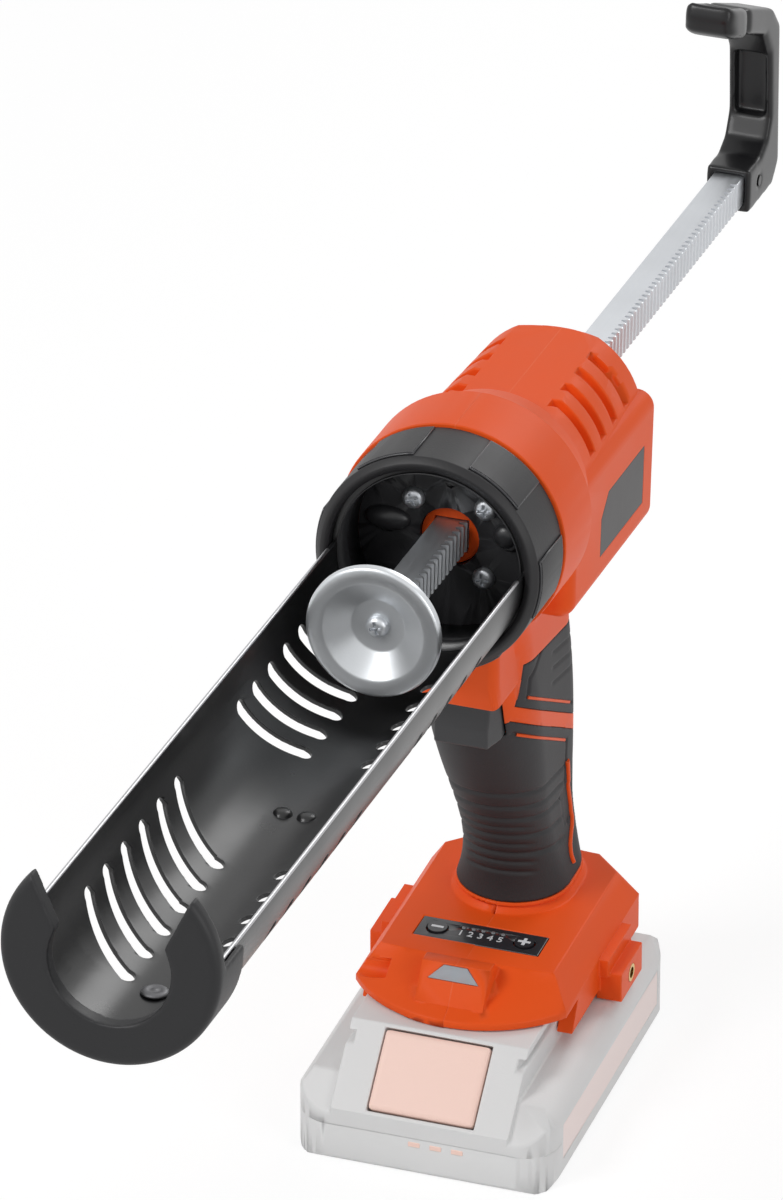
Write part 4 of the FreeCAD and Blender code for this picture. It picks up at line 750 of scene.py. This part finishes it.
def handle_relief(place, normal):
    """A swollen knob at the end of the handle's bar, with a thumb hollow, and a waist behind it."""
    t, h = (np.array(barrel.inverted())[:3] @ np.c_[place * mm, np.ones(len(place))].T)[1:] / mm
    on_bar = h > 50
    facing_up = np.clip(normal[:, 2] * 2 - 0.8, 0, 1)
    hollow = 2.6 * np.exp(-((t - 257) / 6.5) ** 4 - (place[:, 0] / 4.6) ** 4) * facing_up
    waist = 1.1 * np.exp(-((t - 267) / 1.8) ** 2)
    swell = 1.5 * np.exp(-((t - 256) / 7.5) ** 4) * np.clip(0.6 - normal[:, 2], 0, 1)
    return (hollow + waist - swell) * on_bar


def trigger_relief(place, normal):
    """A little more room on the trigger's rear faces, towards the switch."""
    return 0.15 * (normal[:, 1] > 0.7)


even_skin("front_stop", 0.45, 14)
even_skin("pull_handle", 0.5, 30, handle_relief)
even_skin("trigger", 0.35, 6, trigger_relief)
even_skin("battery_release", 0.45, 30)

# %% [markdown]
# ## Rubber grip covers
# The covers are soft rubber moulded over the grip, with long shallow grooves that sweep round it for
# a firm hold. The grooves could be a bump in the shader, but a real groove shows at the outline and
# catches a shadow. Each cover gets an even skin, and a small field of distances presses the grooves
# into its outer side only.

# %% Grooves as distances
def groove(distance, half_width, depth):
    return depth * np.exp(-(distance / half_width) ** 2)


def outer_side(place, normal):
    """One on the side of a cover that faces away from the grip's middle line."""
    middle = 22 + 0.32 * (93 - place[:, 2])
    return (normal[:, 0] * place[:, 0] + normal[:, 1] * (place[:, 1] - middle)) > 0


def to_path(side, path):
    """Each point's distance from a path in the side view."""
    nearest = np.full(len(side), 1e3)
    for first, last in zip(path, path[1:]):
        first, run = np.array(first), np.array(last) - np.array(first)
        share = np.clip(((side - first) @ run) / (run @ run), 0, 1)
        nearest = np.minimum(nearest, np.hypot(*(side - first - share[:, None] * run).T))
    return nearest


def band_foot(y):
    """Height of the bare slanted band's lower edge."""
    return 124.6 - 0.596 * (y + 12.5)


band_tall = 4.9
sweeps = (93.8, 88.4, 83.5, 76.7, 70.0)
short_sweeps = (80.0, 73.3, 66.8, 63.4)
pad_lines = (125.4, 130.3, 135.2)
front_path = [(-10.5, band_foot(-10.5) - 4.0), (28, band_foot(28) - 4.0), (34, 66)]
pad_path = [(30, band_foot(30) + band_tall + 3.6), (-8.8, band_foot(-8.8) + band_tall + 3.6), (-8.8, 137.0),
            (4, 144)]


def front_relief(place, normal):
    x, y, z = place.T
    level = z + 0.2 * (y + 3)
    reach = np.clip((32 - y) / 6, 0, 1)
    depth = sum(groove(level - height, 0.75, 0.6) for height in sweeps) * reach
    middle = np.clip((11 - np.abs(x)) / 3, 0, 1) * (y < 20)
    depth += sum(groove(level - height, 0.6, 0.5) for height in short_sweeps) * middle
    depth += groove(to_path(place[:, 1:], front_path), 0.6, 0.6)
    return np.minimum(depth, 0.7) * outer_side(place, normal)


def pad_relief(place, normal):
    y, z = place.T[1:]
    reach = np.clip((y - 8) / 3, 0, 1) * np.clip((31 - y) / 3, 0, 1)
    depth = sum(groove(z + 0.23 * (y - 9.4) - height, 0.6, 0.5) for height in pad_lines) * reach
    depth += groove(to_path(place[:, 1:], pad_path), 0.6, 0.6)
    return np.minimum(depth, 0.7) * outer_side(place, normal)


front_cover = even_skin("grip_front_cover", 0.42, 3, front_relief)
pads = {side: even_skin("grip_pad_" + name, 0.42, 3, pad_relief)
        for side, name in ((1, "left"), (-1, "right"))}
even_skin("grip_rear_strap", 0.45, 3)

# %% [markdown]
# ## Orange lines in the grip
# Thin lines of the hard orange core show through the rubber, along the lower run of each outline and
# down the rear edge of the front cover. A line drawn by hand would float off the curved cover. A
# Geometry Nodes tree takes a path beside the grip, shoots every point sideways onto the cover, drops
# the points that miss it, and sweeps a small round profile along the rest.

# %% Helpers for Geometry Nodes trees
def new_tree(name, *inputs):
    tree = bpy.data.node_groups.new(name, "GeometryNodeTree")
    tree.interface.new_socket(name="Geometry", in_out="INPUT", socket_type="NodeSocketGeometry")
    for label, kind in inputs:
        tree.interface.new_socket(name=label, in_out="INPUT", socket_type="NodeSocket" + kind)
    tree.interface.new_socket(name="Geometry", in_out="OUTPUT", socket_type="NodeSocketGeometry")
    return tree, tree.nodes.new("NodeGroupInput").outputs, tree.nodes.new("NodeGroupOutput").inputs[0]


def close_tree(tree, shape, finish, end):
    """Every tree ends the same way: instances made real, then the finish."""
    real = add_node(tree, "GeometryNodeRealizeInstances")
    feed(shape, real.inputs["Geometry"])
    paint = add_node(tree, "GeometryNodeSetMaterial")
    feed(real.outputs["Geometry"], paint.inputs["Geometry"])
    feed(finish, paint.inputs["Material"])
    feed(paint.outputs["Geometry"], end)


def grown(tree, mesh, **values):
    """Run a tree on a mesh, with its named inputs set by their identifiers."""
    host = linked("host", mesh)
    modifier = host.modifiers.new("grow", "NODES")
    modifier.node_group = tree
    for item in tree.interface.items_tree:
        if item.in_out == "INPUT" and item.name in values:
            modifier[item.identifier] = values[item.name]
    return evaluated(host)


# %% Tree: a line laid on a cover
line_tree, given, end = new_tree("line_on_cover", ("Cover", "Object"), ("Direction", "Vector"),
                                 ("Spacing", "Float"), ("Thickness", "Float"), ("Finish", "Material"))
to_curve = add_node(line_tree, "GeometryNodeMeshToCurve")
feed(given["Geometry"], to_curve.inputs["Mesh"])
evenly = add_node(line_tree, "GeometryNodeResampleCurve", mode="LENGTH")
feed(to_curve.outputs["Curve"], evenly.inputs["Curve"])
feed(given["Spacing"], evenly.inputs["Length"])
cover_shape = add_node(line_tree, "GeometryNodeObjectInfo")
feed(given["Cover"], cover_shape.inputs["Object"])
shot = add_node(line_tree, "GeometryNodeRaycast")
feed(cover_shape.outputs["Geometry"], shot.inputs["Target Geometry"])
feed(given["Direction"], shot.inputs["Ray Direction"])
missed = add_node(line_tree, "FunctionNodeBooleanMath", operation="NOT")
feed(shot.outputs["Is Hit"], missed.inputs[0])
trimmed = add_node(line_tree, "GeometryNodeDeleteGeometry", domain="POINT")
feed(evenly.outputs["Curve"], trimmed.inputs["Geometry"])
feed(missed.outputs[0], trimmed.inputs["Selection"])
laid = add_node(line_tree, "GeometryNodeSetPosition")
feed(trimmed.outputs["Geometry"], laid.inputs["Geometry"])
feed(shot.outputs["Hit Position"], laid.inputs["Position"])
profile = add_node(line_tree, "GeometryNodeCurvePrimitiveCircle")
profile.inputs["Resolution"].default_value = 10
feed(given["Thickness"], profile.inputs["Radius"])
swept = add_node(line_tree, "GeometryNodeCurveToMesh")
feed(laid.outputs["Geometry"], swept.inputs["Curve"])
feed(profile.outputs["Curve"], swept.inputs["Profile Curve"])
swept.inputs["Fill Caps"].default_value = True
close_tree(line_tree, swept.outputs["Mesh"], given["Finish"], end)
print("tree:", line_tree.name)

# %% Lay the orange lines
beside_grip, point_spacing = 40, 0.8


def orange_line(cover, side, run, thickness):
    """Lay one line, given by its places in the side view, on a cover."""
    mesh = bpy.data.meshes.new("path")
    places = [Vector((side * beside_grip, y, z)) * mm for y, z in run]
    mesh.from_pydata(places, [(k, k + 1) for k in range(len(places) - 1)], [])
    return grown(line_tree, mesh, Cover=cover, Direction=(-side, 0, 0), Spacing=point_spacing * mm,
                 Thickness=thickness * mm, Finish=finishes["housing_orange"])


def first_run(path, first, last):
    """The straight line through a path's first two points, from one place along to another."""
    (y_0, z_0), (y_1, z_1) = path[:2]
    slope = (z_1 - z_0) / (y_1 - y_0)
    return [(y, z_0 + slope * (y - y_0)) for y in (first, last)]


rear_edge = [(31, 88), (33.8, 79), (36.4, 71), (37.2, 67), (36.4, 64), (34.6, 61.8), (32.9, 59.4),
             (32.2, 56.6), (32.6, 54)]
orange_lines = []
for side, pad in pads.items():
    orange_lines.append(orange_line(front_cover, side, first_run(front_path, -9, 27), 0.5))
    orange_lines.append(orange_line(pad, side, first_run(pad_path, -8.2, 28), 0.5))
orange_lines += [orange_line(front_cover, side, rear_edge, 0.8) for side in pads]
orange_mesh = merged(orange_lines, "orange_lines")
orange_mesh.shade_smooth()
add_piece("grip_orange_lines", orange_mesh, "housing", "housing_orange")

# %% [markdown]
# ## Pan head screws
# Four pan head screws hold the black plate and one holds the push plate. A screw is a turned shape,
# so its profile is spun about an axis, and a cross recess is cut with a Boolean. On the real tool no
# two recesses point the same way: a second tree puts the heads on a ring and turns each by a seeded
# random angle.

# %% One screw head
def blocks(*sizes):
    """Plain blocks given by their middle and size, in mm, in one mesh."""
    shape = bmesh.new()
    for middle, size in sizes:
        placed = Matrix.Translation(Vector(middle) * mm) @ Matrix.Diagonal((*(Vector(size) * mm), 1))
        bmesh.ops.create_cube(shape, size=1.0, matrix=placed)
    return mesh_from(shape, "blocks")


def pan_head(radius, height, shank, length):
    turns = [math.radians(90 * k / 10) for k in range(11)]
    dome = [(radius * math.cos(turn) ** 0.6, height * math.sin(turn) ** 0.8) for turn in turns]
    head = lathe([(0, -length), (shank, -length), (shank, 0), (radius, 0)] + dome[:-1] + [(0, height)])
    arm, wide = radius * 1.15, radius * 0.26
    top = (0, 0, height)
    cutter = linked("cutter", blocks((top, (arm, wide, height)), (top, (wide, arm, height))))
    recess = ("BOOLEAN", dict(operation="DIFFERENCE", object=cutter, solver="EXACT", use_self=True))
    head.shade_smooth()
    cut = with_modifiers(head, recess, rounded_edges(0.08, 2, 40), flat_faces)
    bpy.data.objects.remove(cutter)
    print("pan head:", len(cut.polygons), "faces")
    return cut


# %% Tree: pieces on a ring
def set_on(tree, points, piece):
    """Put a pattern object on every point."""
    shape = add_node(tree, "GeometryNodeObjectInfo")
    feed(piece, shape.inputs["Object"])
    placed = add_node(tree, "GeometryNodeInstanceOnPoints")
    feed(points, placed.inputs["Points"])
    feed(shape.outputs["Geometry"], placed.inputs["Instance"])
    return placed


ring_tree, given, end = new_tree("ring_of_pieces", ("Piece", "Object"), ("Count", "Int"), ("Radius", "Float"),
                                 ("Phase", "Float"), ("Seed", "Int"), ("Finish", "Material"))
ring = add_node(ring_tree, "GeometryNodeMeshCircle")
feed(given["Count"], ring.inputs["Vertices"])
feed(given["Radius"], ring.inputs["Radius"])
chance = add_node(ring_tree, "FunctionNodeRandomValue", data_type="FLOAT")
chance.inputs["Max"].default_value = math.tau
feed(given["Seed"], chance.inputs["Seed"])
turn = add_node(ring_tree, "ShaderNodeCombineXYZ")
feed(chance.outputs["Value"], turn.inputs["Z"])
set_out = set_on(ring_tree, ring.outputs["Mesh"], given["Piece"])
feed(turn.outputs["Vector"], set_out.inputs["Rotation"])
phase = add_node(ring_tree, "ShaderNodeCombineXYZ")
feed(given["Phase"], phase.inputs["Z"])
turned = add_node(ring_tree, "GeometryNodeTransform")
feed(set_out.outputs["Instances"], turned.inputs["Geometry"])
feed(phase.outputs["Vector"], turned.inputs["Rotation"])
close_tree(ring_tree, turned.outputs["Geometry"], given["Finish"], end)
print("tree:", ring_tree.name)

# %% Set the screws
plate_front, push_front, screw_ring = 20, -39.4, 14.6
plate_screw = linked("pattern", pan_head(3.2, 2.2, 1.6, 6.0))
screws = grown(ring_tree, bpy.data.meshes.new("empty"), Piece=plate_screw, Count=4, Radius=screw_ring * mm,
               Phase=math.radians(45), Seed=3, Finish=finishes["zinc"])
screws.transform(on_axis(plate_front))
add_piece("plate_pan_screws", screws, "housing", "zinc", "front_plate_screws")
bpy.data.objects.remove(plate_screw)

push_screw = pan_head(3.2, 2.4, 1.8, 9.0)
push_screw.transform(on_axis(push_front, spin=0.3))
add_piece("push_pan_screw", push_screw, "rod", "zinc", "push_plate_screw")

# %% [markdown]
# ## Push plate
# The push plate is a pressed zinc dish: a flat rim that rides against the cartridge, a cone, and a
# flat middle under the screw. The facets of a CAD mesh would show in the mirror-like cone, so the
# same profile is spun again in fine steps, with small rounds where the press bent the sheet.

# %% Spin the dish
dish = [(1.9, 0), (7.2, 0), (7.9, 0.25), (13.9, 4.7), (14.6, 5.0), (17.9, 5.0), (18.6, 4.8), (18.9, 4.3),
        (18.9, 2.6), (18.4, 2.5), (17.6, 3.55), (14.9, 3.6), (14.3, 3.35), (8.2, -1.15), (7.4, -1.4),
        (1.9, -1.4), (1.9, 0)]
plate_mesh = lathe(dish, steps=128)
rings = plate_mesh.attributes.new("ring", "FLOAT", "POINT")
rings.data.foreach_set("value", [vertex.co.xy.length / mm for vertex in plate_mesh.vertices])
plate_mesh.shade_smooth()
plate_mesh.set_sharp_from_angle(angle=math.radians(50))
plate_mesh.transform(on_axis(push_front))
push_dish = add_piece("push_dish", plate_mesh, "rod", "zinc", "push_plate")

# %% Turned lines on the dish
turned_tree, turned_shader = new_finish("turned_zinc")
turned_shader.inputs["Metallic"].default_value = 0.8
turned_shader.inputs["Base Color"].default_value = screen_colour(208, 211, 214)
ring_place = add_node(turned_tree, "ShaderNodeAttribute", attribute_name="ring")
ring_lines = add_node(turned_tree, "ShaderNodeTexNoise", noise_dimensions="1D")
feed(maths(turned_tree, "MULTIPLY", ring_place.outputs["Fac"], 6.0), ring_lines.inputs["W"])
ring_lines.inputs["Scale"].default_value = 1.0
ring_lines.inputs["Detail"].default_value = 3.0
raised(turned_tree, turned_shader, ring_lines.outputs["Fac"], 0.5, 0.03)
handled = place_group(turned_tree, grain_group, Roughness=0.34, Scale=400.0)
feed(handled.outputs["Roughness"], turned_shader.inputs["Roughness"])
push_dish.data.materials[0] = finishes["turned_zinc"]
print("dish: finish", push_dish.data.materials[0].name)

# %% [markdown]
# ## Neck liner
# Behind the collar the neck's bore is lined by a thin black sleeve, so the look into the barrel is
# dark all round. It could be a dark finish on the bore's faces alone, but the bore belongs to the
# orange halves, so a short turned ring with a small lip is simpler.

# %% Turn the liner
liner_front = 3
liner = lathe([(26.0, 0.6), (26.35, 0.3), (26.35, -16.5), (26.0, -16.8), (26.0, 0.6)], steps=96)
liner.shade_smooth()
liner.transform(on_axis(liner_front))
add_piece("neck_liner", liner, "housing", "plate_black")

# %% [markdown]
# ## Bosses on the black plate
# Two oval swellings stand on the plate beside the rod. They could be pressed into the plate's mesh,
# but that needs many more faces there. A ball, stretched and half sunk into the plate, gives the same
# smooth form.

# %% Pressed bosses on the plate
def oval_boss(x, h, long, deep, tall):
    shape = bmesh.new()
    stretched_ball = Matrix.Diagonal((long * mm, deep * mm, tall * mm, 1))
    placed = Matrix.Translation(Vector((x, plate_front, h)) * mm) @ stretched_ball
    bmesh.ops.create_uvsphere(shape, u_segments=40, v_segments=20, radius=1.0, matrix=placed)
    mesh = mesh_from(shape, "boss")
    mesh.shade_smooth()
    return mesh


bosses = merged([oval_boss(-17.6, 2.9, 6.6, 2.7, 3.7), oval_boss(16.4, 3.2, 3.8, 2.6, 3.7)], "bosses")
bosses.transform(barrel)
add_piece("plate_bosses", bosses, "housing", "plate_black")

# %% [markdown]
# ## Speed panel
# The panel shows five small lamps, the digits one to five under them, and a minus and a plus on its
# two buttons. The signs are printed on the real tool; thin raised shapes give the same look and hold
# their edge close up. Lamps in a straight row are a case for a third tree.

# %% Tree: pieces in a row
row_tree, given, end = new_tree("row_of_pieces", ("Piece", "Object"), ("Count", "Int"), ("First", "Vector"),
                                ("Step", "Vector"), ("Finish", "Material"))
row = add_node(row_tree, "GeometryNodeMeshLine")
feed(given["Count"], row.inputs["Count"])
feed(given["First"], row.inputs["Start Location"])
feed(given["Step"], row.inputs["Offset"])
row_set = set_on(row_tree, row.outputs["Mesh"], given["Piece"])
close_tree(row_tree, row_set.outputs["Instances"], given["Finish"], end)
print("tree:", row_tree.name)


def row_of(pattern_mesh, count, first, step, finish):
    pattern = linked("pattern", pattern_mesh)
    made = grown(row_tree, bpy.data.meshes.new("empty"), Piece=pattern, Count=count, First=Vector(first) * mm,
                 Step=Vector(step) * mm, Finish=finishes[finish])
    bpy.data.objects.remove(pattern)
    return made


# %% Lamps, digits and signs
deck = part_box("control_panel")[1].z / mm
button_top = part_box("plus_button")[1].z / mm
lamp_pitch = 2.9
dome = lathe([(0, -0.8), (0.62, -0.8), (0.62, 0.0), (0.52, 0.16), (0.3, 0.24), (0, 0.27)], steps=20)
dome.shade_smooth()
lamps = row_of(dome, 5, (-2 * lamp_pitch, -0.45, deck), (lamp_pitch, 0, 0), "led_white")
panel_lamps = add_piece("panel_lamps", lamps, "housing", "led_white", "indicator_leds")
moulded("smoked_lamp", (118, 119, 122), 0.25, grain=900, depth=0.01)
panel_lamps.data.materials[0] = finishes["smoked_lamp"]


def flat_text(words, size, x, y, z):
    curve = bpy.data.curves.new("sign", "FONT")
    curve.body = words
    curve.size = size * mm
    curve.extrude = 0.06 * mm
    curve.offset = 0.02 * mm
    curve.align_x = curve.align_y = "CENTER"
    mesh = evaluated(linked("sign", curve))
    mesh.transform(Matrix.Translation(Vector((x, y, z)) * mm))
    return mesh


digits = [flat_text(str(k + 1), 3.6, (k - 2) * lamp_pitch, -3.5, deck + 0.05) for k in range(5)]
add_piece("panel_digits", merged(digits, "digits"), "housing", "led_white")
button_x, button_y, arm, stroke = 12.8, -2.85, 3.6, 0.95
on_minus, on_plus = (-button_x, button_y, button_top), (button_x, button_y, button_top)
minus_sign = blocks((on_minus, (arm, stroke, 0.16)))
plus_sign = blocks((on_plus, (arm, stroke, 0.16)), (on_plus, (stroke, arm, 0.15)))
sign_edges = rounded_edges(0.05, 2, 30)
add_piece("minus_sign", with_modifiers(minus_sign, sign_edges), "minus", "led_white")
add_piece("plus_sign", with_modifiers(plus_sign, sign_edges), "plus", "led_white")

# %% [markdown]
# ## Charge marks
# Three small marks on the battery's front stand for its charge lamps. They could be a mask in the
# shader, but the row tree is there already, so one rounded block serves as its pattern.

# %% Charge marks on the battery's front
first_mark, mark_pitch = (-1.4, -57.0, 10.4), 6.3
mark = with_modifiers(blocks(((0, 0, 0), (3.4, 0.5, 1.5))), rounded_edges(0.2, 3, 30))
marks = row_of(mark, 3, first_mark, (mark_pitch, 0, 0), "battery_button")
add_piece("battery_marks", marks, "battery", "battery_button")
